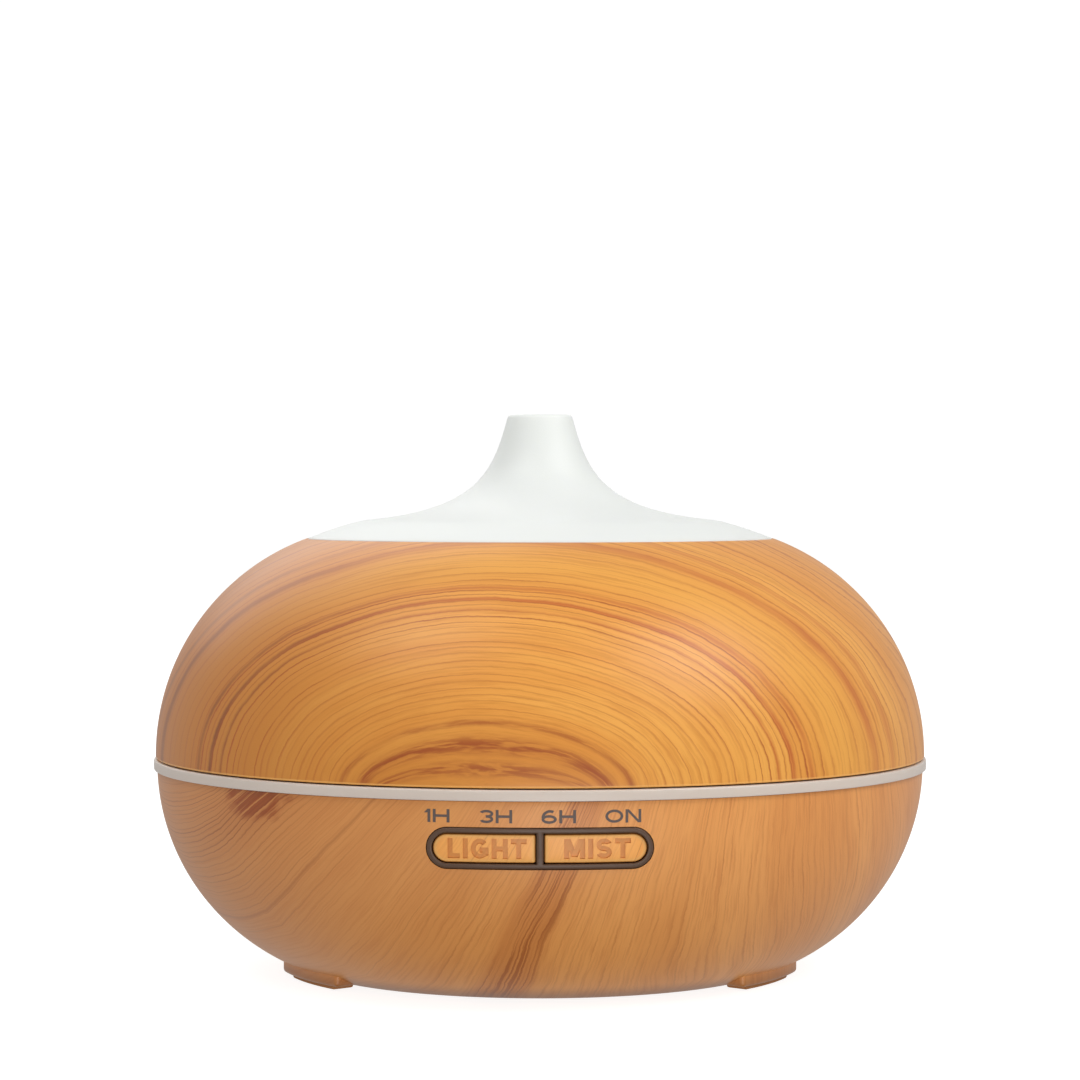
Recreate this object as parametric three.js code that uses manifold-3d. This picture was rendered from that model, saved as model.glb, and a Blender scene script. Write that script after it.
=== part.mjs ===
// Ultrasonic essential oil diffuser: a bun-shaped mains-adapter appliance, 168 mm across.
// Three groups come apart by hand: the base with its water tank, the inner tank cover, and the outer cover
// with its mist nozzle. The base holds a 24 V jack, a driver board, a fan, an ultrasonic transducer under
// the tank floor, a string of LEDs under the light ring, and two push buttons on the front (-Y).
// Units are millimetres, +Z is up, and the origin is on the floor under the centre of the body.
import * as THREE from "three";
import { mergeVertices } from "three/addons/utils/BufferGeometryUtils.js";
import Module from "manifold-3d";

const wasm = await Module();
wasm.setup();

// ---------------------------------------------------------------- driving dimensions
const ROUND = 32; // sides of the large turned parts
const FINE_ROUND = 20; // sides of the fan and the transducer
const SMALL_ROUND = 12; // sides of bores and bosses
const PIN_ROUND = 8; // sides of screws and pins
const GAP = 0.2; // clearance between fixed neighbours
const DEG = Math.PI / 180;

const WALL = 2.2; // moulded wall thickness
const RING_Z = 45; // middle of the light ring above the floor
const RING_H = 2.2;
const RING_R = 84;
const LOWER_ARC = { r: 36.2, z: 45.25, radius: 47.1 }; // outside of the lower shell
const UPPER_ARC = { r: 33.8, z: 46.8, radius: 49.8 }; // outside of the upper shell
const LOWER_TOP = RING_Z - RING_H / 2 - 0.1;
const UPPER_BOTTOM = RING_Z + RING_H / 2 + 0.4;

const NOZZLE_TOP = 120.5;
const NOZZLE_R = 6.95;
const NOZZLE_BORE = 4.9;
const SEAM_R = 50.8; // where the nozzle cap meets the upper shell
const SEAM_LEDGE = { r: 46.5, top: 91.9, thick: 1.6 };

const UNDERSIDE = 0.6; // flat underside of the lower shell
const PLATE_R = 44; // bottom plate
const PLATE_Z = 2.0;
const PLATE_THICK = 1.6;
const LEDGE_R = 38; // opening above the bottom plate
const LEDGE_Z = 3.8;
const FLOOR_Z = 5.6; // inner floor of the lower shell

const FOOT = { inner: 49.4, outer: 57.6, halfAngle: 13, bottom: 0.9, padHalf: 2.7 };
const FOOT_ANGLES = [-60, 60, 120, -120]; // from the front, turning towards +X
const POST_R = 53.5; // radius of the foot centres, the posts and the tank bosses
const POST_TOP = 14.2;
const PAD_TOP = 1.8;
const TANK_SCREW_SEAT = 5; // in the posts, over the feet

const TANK_FLOOR = 25;
const TANK_WALL = 2.0;
const TANK_R = 69; // inside radius of the tank mouth
const TANK_TOP = 62.8;
const TANK_FLANGE = { r: 80.6, bottom: 46.3, top: 48 };
const SUMP_R = 9; // hole in the tank floor over the transducer

const RISER = { y: 47, halfX: 8, halfY: 4, wall: 1.6, top: 57 };
const CHIMNEY_R = 8.8;
const CHIMNEY_TOP = 98;

const PANEL = { z: 34.5, width: 44.3, height: 8.2, frame: 1.05, divider: 1.35 };
const PANEL_FLANGE = 1.3; // how far the bezel reaches behind the shell, all round
const BUTTON = { back: -74.2, rim: 0.9, rimThick: 1 };
const BUTTON_GAP = 0.15;
const BUTTON_RECESS = 0.3;
const SWITCH_X = 10.8;
const BUTTON_BOARD = { y: -70.8, thick: 1.6, halfX: 30, bottom: 28.8, top: 39.4 };

const FAN = { y: 6, size: 40, thick: 10, bottom: 4.7, bore: 18.6, screw: 16, blades: 7 };
const BOARD = { x: -40.5, halfX: 16, halfY: 19, z: 11.5, thick: 1.6 };
const ON_BOARD = BOARD.z + BOARD.thick + 0.1; // where parts stand on the main board
const JACK = { z: 17, face: 68.8, wellR: 6.8, noseR: 5, boreR: 3.2 };
const LED_BOARD = { inner: 70.5, outer: 77.5, z: 36.8, thick: 1.6, openAngle: 28 };

const COLLAR = { outer: 14.8, inner: 12.4, bottom: 18.8 }; // round the transducer, under the tank floor
const RETAINER = { r: 18, bore: 7, bottom: 16.9, top: 18.5, screwR: 15.5 };
const PILOT_R = 1.05; // hole in which a small screw cuts its thread
const HOLE_R = 1.3; // clearance hole of a small screw
const SHANK_R = 0.95; // shank of a small screw
const THIN_CABLE_R = 0.8;
const THICK_CABLE_R = 0.9;

const FRONT = -90; // a cut that starts here starts in front of the whole body
const BACK = 90; // behind the whole body
const BELOW = -1; // under the floor

// ---------------------------------------------------------------- places of fixings and small parts
// A point at an angle from the front (-Y), turning towards +X.
const around = (radius, degrees) => [radius * Math.sin(degrees * DEG), -radius * Math.cos(degrees * DEG)];

const screwPlaces = FOOT_ANGLES.map((a) => around(POST_R, a));
const platePlaces = [45, 135, -135, -45].map((a) => around(41, a));
const retainerPlaces = [0, 120, -120].map((a) => around(RETAINER.screwR, a));
const boardPlaces = [[-53, 0], [-40, 15], [-40, -15]];
const capacitorPlaces = [[-29, 9], [-49, 8]];
const fanPlaces = [[-FAN.screw, FAN.y - FAN.screw], [FAN.screw, FAN.y + FAN.screw]];
const fanCorners = [-1, 1].flatMap((i) => [-1, 1].map((j) => [i * FAN.screw, FAN.y + j * FAN.screw]));
const BUTTON_SCREW_X = 27;
const RIB_ANGLES = [45, 110, 160, -110, -45]; // ribs on the wall that carry the LED board
const LAMP_ANGLES = [45, 80, 115, 150, -150, -115, -80, -45];

// ---------------------------------------------------------------- materials
const paint = (color, roughness, metalness = 0) =>
  new THREE.MeshStandardMaterial({ color, roughness, metalness });
const woodPrint = paint(0xcf8a43, 0.45);
const whiteCap = paint(0xe9ece8, 0.5);
const tankWhite = paint(0xf2f2ee, 0.4);
const ringMilk = paint(0xcfc6be, 0.35);
const bezelBrown = paint(0x5a4638, 0.5);
const darkPlastic = paint(0x1e1f21, 0.5);
const rubberGrey = paint(0x3a3a3a, 0.9);
const siliconeWhite = paint(0xdedede, 0.7);
const boardGreen = paint(0x1f6b3a, 0.5);
const steel = paint(0xb9bcc0, 0.3, 1);
const brass = paint(0xc8a24c, 0.35, 1);
const aluminium = paint(0xa9adb2, 0.4, 1);
const copper = paint(0xb36b3c, 0.4, 1);
const cableBlack = paint(0x222222, 0.6);

// ---------------------------------------------------------------- solids from three.js geometry
// A closed geometry as a manifold-3d solid with its faces pointing out.
function solid(geometry) {
  const bare = geometry.index ? geometry.toNonIndexed() : geometry.clone();
  bare.deleteAttribute("normal");
  bare.deleteAttribute("uv");
  const merged = mergeVertices(bare, 1e-4);
  const vertProperties = merged.attributes.position.array;
  const triVerts = new Uint32Array(merged.index.array);
  const made = new wasm.Manifold(new wasm.Mesh({ numProp: 3, vertProperties, triVerts }));
  if (made.volume() > 0) return made;
  for (let i = 0; i < triVerts.length; i += 3) {
    [triVerts[i + 1], triVerts[i + 2]] = [triVerts[i + 2], triVerts[i + 1]];
  }
  return new wasm.Manifold(new wasm.Mesh({ numProp: 3, vertProperties, triVerts }));
}

const join = (first, ...rest) => rest.reduce((a, b) => a.add(b), first);
const cut = (first, ...rest) => rest.reduce((a, b) => a.subtract(b), first);
const common = (first, second) => first.intersect(second);

// A solid of manifold-3d as a three.js geometry.
function geometryOf(made) {
  const mesh = made.getMesh();
  const position = new Float32Array(mesh.numVert * 3);
  for (let i = 0; i < mesh.numVert; i++) {
    position.set(mesh.vertProperties.subarray(i * mesh.numProp, i * mesh.numProp + 3), i * 3);
  }
  const flat = new THREE.BufferGeometry()
    .setAttribute("position", new THREE.BufferAttribute(position, 3))
    .setIndex(new THREE.BufferAttribute(new Uint32Array(mesh.triVerts), 1))
    .toNonIndexed();
  flat.computeVertexNormals();
  return flat;
}

// A closed outline of [radius, z] points turned about Z.
function turned(outline, sides = ROUND) {
  const points = [...outline, outline[0]].map(([r, z]) => new THREE.Vector2(r, z));
  return solid(new THREE.LatheGeometry(points, sides).rotateX(Math.PI / 2));
}

// An outline that starts and ends on the axis, turned about Z.
function turnedFull(outline, sides = ROUND) {
  const points = outline.map(([r, z]) => new THREE.Vector2(r, z));
  return solid(new THREE.LatheGeometry(points, sides).rotateX(Math.PI / 2));
}

// A cylinder along Z from z0 to z1.
function disc(radius, z0, z1, x = 0, y = 0, sides = SMALL_ROUND) {
  const made = new THREE.CylinderGeometry(radius, radius, z1 - z0, sides);
  return solid(made.rotateX(Math.PI / 2).translate(x, y, (z0 + z1) / 2));
}

// A cylinder along Y from y0 to y1.
function rod(radius, y0, y1, x = 0, z = 0, sides = SMALL_ROUND) {
  const made = new THREE.CylinderGeometry(radius, radius, y1 - y0, sides);
  return solid(made.translate(x, (y0 + y1) / 2, z));
}

const tube = (outer, inner, z0, z1, x = 0, y = 0, sides = SMALL_ROUND) =>
  cut(disc(outer, z0, z1, x, y, sides), disc(inner, z0 - 1, z1 + 1, x, y, sides));

// A box between two corners.
function block([x0, y0, z0], [x1, y1, z1]) {
  const made = new THREE.BoxGeometry(x1 - x0, y1 - y0, z1 - z0);
  return solid(made.translate((x0 + x1) / 2, (y0 + y1) / 2, (z0 + z1) / 2));
}

// A shape drawn on the plan (x, y), extruded from z0 to z1.
function raised(shape, z0, z1, curveSegments = 8) {
  const made = new THREE.ExtrudeGeometry(shape, { depth: z1 - z0, bevelEnabled: false, curveSegments });
  return solid(made.translate(0, 0, z0));
}

// A shape drawn on the front (x, z), extruded along Y from y0 to y1.
function faced(shape, y0, y1, curveSegments = 6) {
  const made = new THREE.ExtrudeGeometry(shape, { depth: y1 - y0, bevelEnabled: false, curveSegments });
  return solid(made.rotateX(Math.PI / 2).translate(0, y1, 0));
}

// Points along an arc of an outline, from one height to another, on the arc's outer side.
function arcBetween(arc, inset, z0, z1, steps) {
  const radius = arc.radius - inset;
  const a0 = Math.asin((z0 - arc.z) / radius);
  const a1 = Math.asin((z1 - arc.z) / radius);
  return Array.from({ length: steps + 1 }, (_, i) => {
    const a = a0 + ((a1 - a0) * i) / steps;
    return [arc.r + radius * Math.cos(a), arc.z + radius * Math.sin(a)];
  });
}

// Points along a Bezier curve given by its [r, z] control points.
function bezier(controls, steps) {
  const at = controls.map(([r, z]) => new THREE.Vector2(r, z));
  const curve =
    at.length === 3 ? new THREE.QuadraticBezierCurve(...at) : new THREE.CubicBezierCurve(...at);
  return curve.getPoints(steps).map((p) => [p.x, p.y]);
}

// A mesh from a solid, with its node name.
function part(name, made, material) {
  const mesh = new THREE.Mesh(geometryOf(made), material);
  mesh.name = name;
  return mesh;
}

// Copies of one solid at [x, y] places, each its own mesh with a number.
function copies(name, made, material, places) {
  const geometry = geometryOf(made);
  return places.map(([x, y], i) => {
    const mesh = new THREE.Mesh(geometry, material);
    mesh.name = `${name}_${i + 1}`;
    mesh.position.set(x, y, 0);
    return mesh;
  });
}

// A screw along Z: its head touches headZ and its shank runs to tipZ, up or down.
function screw(headR, headH, shankR, headZ, tipZ) {
  const up = Math.sign(tipZ - headZ);
  const outline = [
    [0, headZ - up * headH],
    [headR, headZ - up * headH],
    [headR, headZ],
    [shankR, headZ],
    [shankR, tipZ - up * 0.8],
    [0, tipZ],
  ];
  return turnedFull(outline, PIN_ROUND);
}

// A cable of the given radius through a list of points.
function cable(radius, points, steps) {
  const path = new THREE.CatmullRomCurve3(points.map((p) => new THREE.Vector3(...p)), false, "centripetal");
  const section = new THREE.Shape();
  section.absarc(0, 0, radius, 0, 2 * Math.PI);
  const made = new THREE.ExtrudeGeometry(section, { steps, curveSegments: 4, extrudePath: path });
  return solid(made);
}

// ---------------------------------------------------------------- outer cover
function upperShell() {
  const seamZ = UPPER_ARC.z + Math.sqrt(UPPER_ARC.radius ** 2 - (SEAM_R - UPPER_ARC.r) ** 2);
  const ribTop = TANK_FLANGE.top + 1.8;
  const ledgeBottom = SEAM_LEDGE.top - SEAM_LEDGE.thick;
  const rimR = 81.4; // inside of the rim, around the tank flange
  const ribR = 77.5; // the rib that rests on the tank flange
  return turned([
    ...arcBetween(UPPER_ARC, 0, UPPER_BOTTOM, seamZ, 7),
    [SEAM_R, SEAM_LEDGE.top],
    [SEAM_LEDGE.r, SEAM_LEDGE.top],
    [SEAM_LEDGE.r, ledgeBottom],
    ...arcBetween(UPPER_ARC, WALL, ledgeBottom, ribTop, 5),
    [ribR, ribTop],
    [ribR, TANK_FLANGE.top + GAP],
    [rimR, TANK_FLANGE.top + GAP],
    [rimR, UPPER_BOTTOM],
  ]);
}

function nozzleCap() {
  const edgeR = SEAM_R - 0.3;
  const skirt = { outer: SEAM_LEDGE.r - 0.3, inner: SEAM_LEDGE.r - 1.9, bottom: 88.8 };
  const beadR = SEAM_LEDGE.r + 0.5;
  const beadTop = SEAM_LEDGE.top - SEAM_LEDGE.thick - GAP;
  const lipR = 1.0;
  return turned([
    ...bezier([[edgeR, 93.6], [45.8, 95.4], [40.4, 97.3], [37.6, 97.6]], 3),
    ...bezier([[37.6, 97.6], [13.1, 99.9], [10.2, 108.3], [NOZZLE_R, NOZZLE_TOP - lipR]], 7).slice(1),
    [NOZZLE_R - 0.35, NOZZLE_TOP - 0.3],
    [NOZZLE_R - lipR, NOZZLE_TOP],
    [NOZZLE_BORE, NOZZLE_TOP],
    ...bezier([[NOZZLE_BORE, 117.5], [7.6, 107.6], [11.4, 97.9], [36.6, 95.4]], 5),
    [skirt.inner, 93.2],
    [skirt.inner, skirt.bottom],
    [skirt.outer, skirt.bottom],
    [beadR, skirt.bottom + 0.5],
    [beadR, beadTop - 0.3],
    [skirt.outer, beadTop],
    [skirt.outer, SEAM_LEDGE.top + GAP],
    [edgeR, SEAM_LEDGE.top + GAP],
  ]);
}

// ---------------------------------------------------------------- inner tank cover
function innerCover() {
  const thick = 1.6;
  const rimR = TANK_R + TANK_WALL + 1.2;
  const skirtR = TANK_R - 0.4;
  return turned([
    [CHIMNEY_R + thick, CHIMNEY_TOP],
    [CHIMNEY_R, CHIMNEY_TOP],
    [CHIMNEY_R, 82.6],
    ...bezier([[11, 80.4], [44, 77.2], [60, 69.5], [skirtR - thick, 63.4]], 4),
    [skirtR - thick, 58.5],
    [skirtR, 58.5],
    [skirtR, TANK_TOP + GAP],
    [rimR, TANK_TOP + GAP],
    [rimR, TANK_TOP + GAP + thick],
    ...bezier([[69.2, 64.6], [61, 71.2], [45, 79], [12.4, 82.2]], 4),
    [CHIMNEY_R + thick, 84.6],
  ]);
}

// ---------------------------------------------------------------- water tank and what is fixed to it
function waterTank() {
  const outerR = TANK_R + TANK_WALL;
  const underside = TANK_FLOOR - WALL;
  const bowl = turned([
    [SUMP_R, TANK_FLOOR],
    ...bezier([[44, TANK_FLOOR], [62, TANK_FLOOR], [67, 44]], 5),
    [TANK_R, 52],
    [TANK_R, TANK_TOP],
    [outerR, TANK_TOP],
    [outerR, TANK_FLANGE.top],
    [TANK_FLANGE.r, TANK_FLANGE.top],
    [TANK_FLANGE.r, TANK_FLANGE.bottom],
    [69.7, TANK_FLANGE.bottom],
    ...bezier([[69.2, 43.6], [64.2, underside], [44.5, underside]], 5),
    [COLLAR.outer, underside],
    [COLLAR.outer, COLLAR.bottom],
    [COLLAR.inner, COLLAR.bottom],
    [COLLAR.inner, underside],
    [SUMP_R, underside],
  ]);
  const { y, halfX, halfY, wall, top } = RISER;
  const [outX, outY] = [halfX + wall, halfY + wall];
  const riser = block([-outX, y - outY, underside + 1], [outX, y + outY, top]);
  const duct = block([-halfX, y - halfY, underside - 1], [halfX, y + halfY, top + 1]);
  const bosses = screwPlaces.map(([x, y0]) => disc(3.6, POST_TOP + 0.3, TANK_FLOOR + GAP, x, y0));
  const pilots = screwPlaces.map(([x, y0]) => disc(1.65, POST_TOP, TANK_FLOOR - 1, x, y0, PIN_ROUND));
  const retainerBosses = retainerPlaces.map(([x, y0]) => disc(2.6, COLLAR.bottom, underside + 1, x, y0));
  const retainerPilots = retainerPlaces.map(([x, y0]) =>
    disc(PILOT_R, COLLAR.bottom - 1, underside + 0.6, x, y0, PIN_ROUND),
  );
  const inner = disc(COLLAR.inner, COLLAR.bottom - 1, underside, 0, 0, FINE_ROUND);
  const body = join(bowl, riser, ...bosses, ...retainerBosses);
  return cut(body, duct, inner, ...pilots, ...retainerPilots);
}

// The hood stops splashes from running down the air riser. It lets air out towards the middle of the tank.
function airOutletHood() {
  const { y, halfX, halfY, wall, top } = RISER;
  const inX = halfX + wall + GAP;
  const inY = halfY + wall + GAP;
  const skin = 1.2;
  const roof = 64;
  const outside = block([-inX - skin, y - inY - skin, 50], [inX + skin, y + inY + skin, roof]);
  const inside = block([-inX, y - inY, 49], [inX, y + inY, roof - skin]);
  const mouth = block([-halfX, y - inY - 2 * skin, top + 0.4], [halfX, y, roof - skin - 0.2]);
  return cut(outside, inside, mouth);
}

function lightRing() {
  const bottom = RING_Z - RING_H / 2;
  const top = RING_Z + RING_H / 2;
  const lip = { outer: 80.6, inner: 78.7, bottom: 41.5 };
  return turned([
    [76, bottom],
    [76, top],
    [RING_R - 0.4, top],
    [RING_R, top - 0.4],
    [RING_R, bottom + 0.4],
    [RING_R - 0.4, bottom],
    [lip.outer, bottom],
    [lip.outer, lip.bottom],
    [lip.inner, lip.bottom],
    [lip.inner, bottom],
  ]);
}

// The gasket holds the transducer in a groove round its inside.
function transducerGasket() {
  const outline = [
    [12.2, 19],
    [12.2, 22.6],
    [8.6, 22.6],
    [8.6, 21.5],
    [10.3, 21.5],
    [10.3, 20.1],
    [8.6, 20.1],
    [8.6, 19],
  ];
  return turned(outline, FINE_ROUND);
}

// A 20 mm disc with its smaller electrode on top.
const transducerDisc = () =>
  turnedFull([[0, 20.3], [10, 20.3], [10, 20.9], [8, 20.9], [8, 21.3], [0, 21.3]], FINE_ROUND);

function transducerRetainer() {
  const { r, bore, bottom, top } = RETAINER;
  const holes = retainerPlaces.map(([x, y]) => disc(1.4, bottom - 1, top + 1, x, y, PIN_ROUND));
  return cut(tube(r, bore, bottom, top, 0, 0, FINE_ROUND), ...holes);
}

// ---------------------------------------------------------------- lower shell and bottom plate
// The round body of the lower shell, full to the axis, inset from its outside, from one height to another.
function lowerBody(inset, z0, z1, steps, extraTop = 0) {
  const arc = arcBetween(LOWER_ARC, inset, z0, z1, steps);
  const rim = arc[arc.length - 1][0];
  const lip = extraTop > 0 ? [[rim, z1 + extraTop]] : [];
  return turnedFull([[0, z0], ...arc, ...lip, [0, z1 + extraTop]]);
}

function footBlock(angle) {
  const { inner, outer, halfAngle, bottom } = FOOT;
  const a0 = (angle - 90 - halfAngle) * DEG;
  const a1 = (angle - 90 + halfAngle) * DEG;
  const shape = new THREE.Shape();
  shape.absarc(0, 0, outer, a0, a1, false);
  shape.absarc(0, 0, inner, a1, a0, true);
  return raised(shape, bottom, FLOOR_Z, 4);
}

// A bar on the front (x, z) with a half-round end on the sides asked for.
function pill(x0, x1, z0, z1, leftRound, rightRound) {
  const r = (z1 - z0) / 2;
  const middle = (z0 + z1) / 2;
  const shape = new THREE.Shape();
  if (leftRound) {
    shape.absarc(x0 + r, middle, r, Math.PI / 2, -Math.PI / 2, false);
  } else {
    shape.moveTo(x0, z1);
    shape.lineTo(x0, z0);
  }
  if (rightRound) {
    shape.absarc(x1 - r, middle, r, -Math.PI / 2, Math.PI / 2, false);
  } else {
    shape.lineTo(x1, z0);
    shape.lineTo(x1, z1);
  }
  shape.closePath();
  return shape;
}

// The pill of the control panel, grown all round, as a prism along Y.
const panelPrism = (grow, y0, y1) => {
  const halfX = PANEL.width / 2 + grow;
  const halfZ = PANEL.height / 2 + grow;
  return faced(pill(-halfX, halfX, PANEL.z - halfZ, PANEL.z + halfZ, true, true), y0, y1);
};

function lowerShell() {
  const skin = lowerBody(0, UNDERSIDE, LOWER_TOP, 7);
  const hollow = lowerBody(WALL, UNDERSIDE + WALL, LOWER_TOP, 5, 1);
  const floor = tube(47, LEDGE_R, WALL, FLOOR_Z, 0, 0, ROUND);
  const posts = screwPlaces.map(([x, y]) => disc(4, 2.5, POST_TOP, x, y));
  const plateBosses = platePlaces.map(([x, y]) => disc(2.9, LEDGE_Z, 11, x, y, PIN_ROUND));
  const boardPosts = boardPlaces.map(([x, y]) => disc(2.6, 3.4, BOARD.z - 0.1, x, y, PIN_ROUND));
  const buttonBosses = [-1, 1].map((side) =>
    rod(2.8, -79, BUTTON_BOARD.y - 0.1, side * BUTTON_SCREW_X, PANEL.z),
  );
  const ribs = RIB_ANGLES.map((a) => ledRib(a));
  const wellWall = rod(JACK.wellR + WALL, JACK.face - WALL, BACK, 0, JACK.z);
  const grown = join(...posts, ...boardPosts, ...buttonBosses, ...ribs, wellWall);
  const shell = join(cut(skin, hollow), floor, ...plateBosses, common(grown, skin));
  const feet = FOOT_ANGLES.map((a) => footBlock(a));
  const body = join(shell, ...feet);
  return cut(
    body,
    disc(PLATE_R + 0.3, BELOW, LEDGE_Z, 0, 0, ROUND),
    disc(LEDGE_R, BELOW, FLOOR_Z + 1, 0, 0, ROUND),
    rod(JACK.wellR, JACK.face, BACK, 0, JACK.z),
    rod(JACK.noseR + GAP, 60, 70, 0, JACK.z),
    panelPrism(GAP, FRONT, -70),
    panelPrism(PANEL_FLANGE + 0.3, -77.1, -70),
    ...screwPlaces.flatMap(([x, y]) => [
      disc(1.7, BELOW, POST_TOP + 1, x, y, PIN_ROUND),
      disc(3, BELOW, TANK_SCREW_SEAT, x, y, PIN_ROUND),
    ]),
    ...FOOT_ANGLES.map((a) => padSector(a, 0.3, BELOW, PAD_TOP + 0.1)),
    ...platePlaces.map(([x, y]) => disc(PILOT_R, BELOW, 9.6, x, y, PIN_ROUND)),
    ...boardPlaces.map(([x, y]) => disc(PILOT_R, 6.2, BOARD.z + 1, x, y, PIN_ROUND)),
    ...[-1, 1].map((side) => rod(PILOT_R, -75.4, -60, side * BUTTON_SCREW_X, PANEL.z, PIN_ROUND)),
  );
}

// A rib on the wall that carries the LED board.
function ledRib(angle) {
  const height = 9;
  const rib = new THREE.BoxGeometry(2.4, 7, height).translate(0, -75.6, LED_BOARD.z - 0.1 - height / 2);
  return solid(rib.rotateZ(angle * DEG));
}

// The arc-shaped recess of a foot, or the pad in it, grown all round.
function padSector(angle, grow, z0, z1) {
  const halfAngle = 10 + (grow / POST_R) / DEG;
  const a0 = (angle - 90 - halfAngle) * DEG;
  const a1 = (angle - 90 + halfAngle) * DEG;
  const shape = new THREE.Shape();
  shape.absarc(0, 0, POST_R + FOOT.padHalf + grow, a0, a1, false);
  shape.absarc(0, 0, POST_R - FOOT.padHalf - grow, a1, a0, true);
  return raised(shape, z0, z1, 3);
}

const footPads = () =>
  FOOT_ANGLES.map((a, i) => part(`foot_pad_${i + 1}`, padSector(a, 0, 0, PAD_TOP), rubberGrey));

function bottomPlate() {
  const slotHalf = 1.2;
  const pitch = 4.8;
  const grilleR = 17.4;
  const top = PLATE_Z + PLATE_THICK;
  const slots = [-3, -2, -1, 0, 1, 2, 3].map((i) => {
    const x = i * pitch;
    const half = Math.sqrt(grilleR ** 2 - x ** 2);
    return block([x - slotHalf, FAN.y - half, 0], [x + slotHalf, FAN.y + half, top + 1]);
  });
  const across = block([-grilleR, FAN.y - 1, 0], [grilleR, FAN.y + 1, top]);
  const plate = disc(PLATE_R, PLATE_Z, top, 0, 0, ROUND);
  const bars = common(across, plate);
  const standoffs = fanPlaces.map(([x, y]) => disc(3, PLATE_Z + 0.4, FAN.bottom - 0.1, x, y, PIN_ROUND));
  const holes = platePlaces.map(([x, y]) => disc(HOLE_R, 0, top + 1, x, y, PIN_ROUND));
  const pilots = fanPlaces.map(([x, y]) => disc(PILOT_R, PLATE_Z + 0.5, FAN.bottom + 1, x, y, PIN_ROUND));
  return cut(join(cut(plate, ...slots), bars, ...standoffs), ...holes, ...pilots);
}

// ---------------------------------------------------------------- control panel
function controlBezel() {
  const proud = 0.3;
  const outline = lowerBody(-proud, 25, LOWER_TOP, 8);
  const front = common(panelPrism(0, FRONT, -75.6), outline);
  const flange = panelPrism(PANEL_FLANGE, -76.8, -75.4);
  return cut(join(front, flange), ...[-1, 1].map((side) => buttonPrism(side, 0, FRONT, -60)));
}

// The window of one button (side -1 left, +1 right), shrunk or grown all round, as a prism along Y.
function buttonPrism(side, grow, y0, y1, growInside = grow) {
  const outerX = PANEL.width / 2 - PANEL.frame + grow;
  const innerX = PANEL.divider / 2 - growInside;
  const halfZ = PANEL.height / 2 - PANEL.frame + grow;
  const [z0, z1] = [PANEL.z - halfZ, PANEL.z + halfZ];
  if (side < 0) return faced(pill(-outerX, -innerX, z0, z1, true, false), y0, y1);
  return faced(pill(innerX, outerX, z0, z1, false, true), y0, y1);
}

function panelButton(side) {
  const outline = lowerBody(BUTTON_RECESS, 25, LOWER_TOP, 8);
  const front = common(buttonPrism(side, -BUTTON_GAP, FRONT, BUTTON.back - BUTTON.rimThick / 2), outline);
  const rimTowardsMiddle = 0.3;
  const rim = buttonPrism(side, BUTTON.rim, BUTTON.back - BUTTON.rimThick, BUTTON.back, rimTowardsMiddle);
  return join(front, rim);
}

const switchPlunger = (side) =>
  rod(1.5, BUTTON.back + GAP, BUTTON.back + GAP + 1, side * SWITCH_X, PANEL.z, 16);

function tactSwitch(side) {
  const x = side * SWITCH_X;
  const back = BUTTON_BOARD.y - 0.1;
  const body = block([x - 3, back - 2.5, PANEL.z - 3], [x + 3, back, PANEL.z + 3]);
  return cut(body, rod(1.8, back - 3, back - 1.3, x, PANEL.z, 16));
}

function buttonBoard() {
  const { y, thick, halfX, bottom, top } = BUTTON_BOARD;
  const board = block([-halfX, y, bottom], [halfX, y + thick, top]);
  const holes = [-1, 1].map((side) => rod(HOLE_R, FRONT, -60, side * BUTTON_SCREW_X, PANEL.z, PIN_ROUND));
  const header = block([-5, y + thick - 0.1, bottom + 1], [5, y + thick + 2, bottom + 4]);
  return cut(join(board, header), ...holes);
}

function buttonBoardScrew(side) {
  const headY = BUTTON_BOARD.y + BUTTON_BOARD.thick + 0.1;
  const head = rod(2.2, headY, headY + 1.3, 0, 0, PIN_ROUND);
  const shank = rod(SHANK_R, -75, headY + 0.1, 0, 0, PIN_ROUND);
  return join(head, shank).translate([side * BUTTON_SCREW_X, 0, PANEL.z]);
}

// ---------------------------------------------------------------- fan
function fanFrame() {
  const half = FAN.size / 2;
  const top = FAN.bottom + FAN.thick;
  const spiderTop = FAN.bottom + 1.5;
  const box = block([-half, FAN.y - half, FAN.bottom], [half, FAN.y + half, top]);
  const bore = disc(FAN.bore, FAN.bottom - 1, top + 1, 0, FAN.y, FINE_ROUND);
  const spider = [45, 135].map((a) => {
    const bar = new THREE.BoxGeometry(2 * FAN.bore + 1, 2.6, 1.5).rotateZ(a * DEG);
    return solid(bar.translate(0, FAN.y, FAN.bottom + 0.75));
  });
  const hub = disc(9, FAN.bottom, spiderTop, 0, FAN.y);
  const sleeve = disc(3.9, FAN.bottom, 11.8, 0, FAN.y);
  const bearingSeat = disc(2.75, spiderTop + 0.1, 13, 0, FAN.y);
  const holes = fanCorners.map(([x, y]) => disc(1.7, FAN.bottom - 1, top + 1, x, y, PIN_ROUND));
  return cut(join(cut(box, bore), ...spider, hub, sleeve), bearingSeat, ...holes);
}

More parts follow.
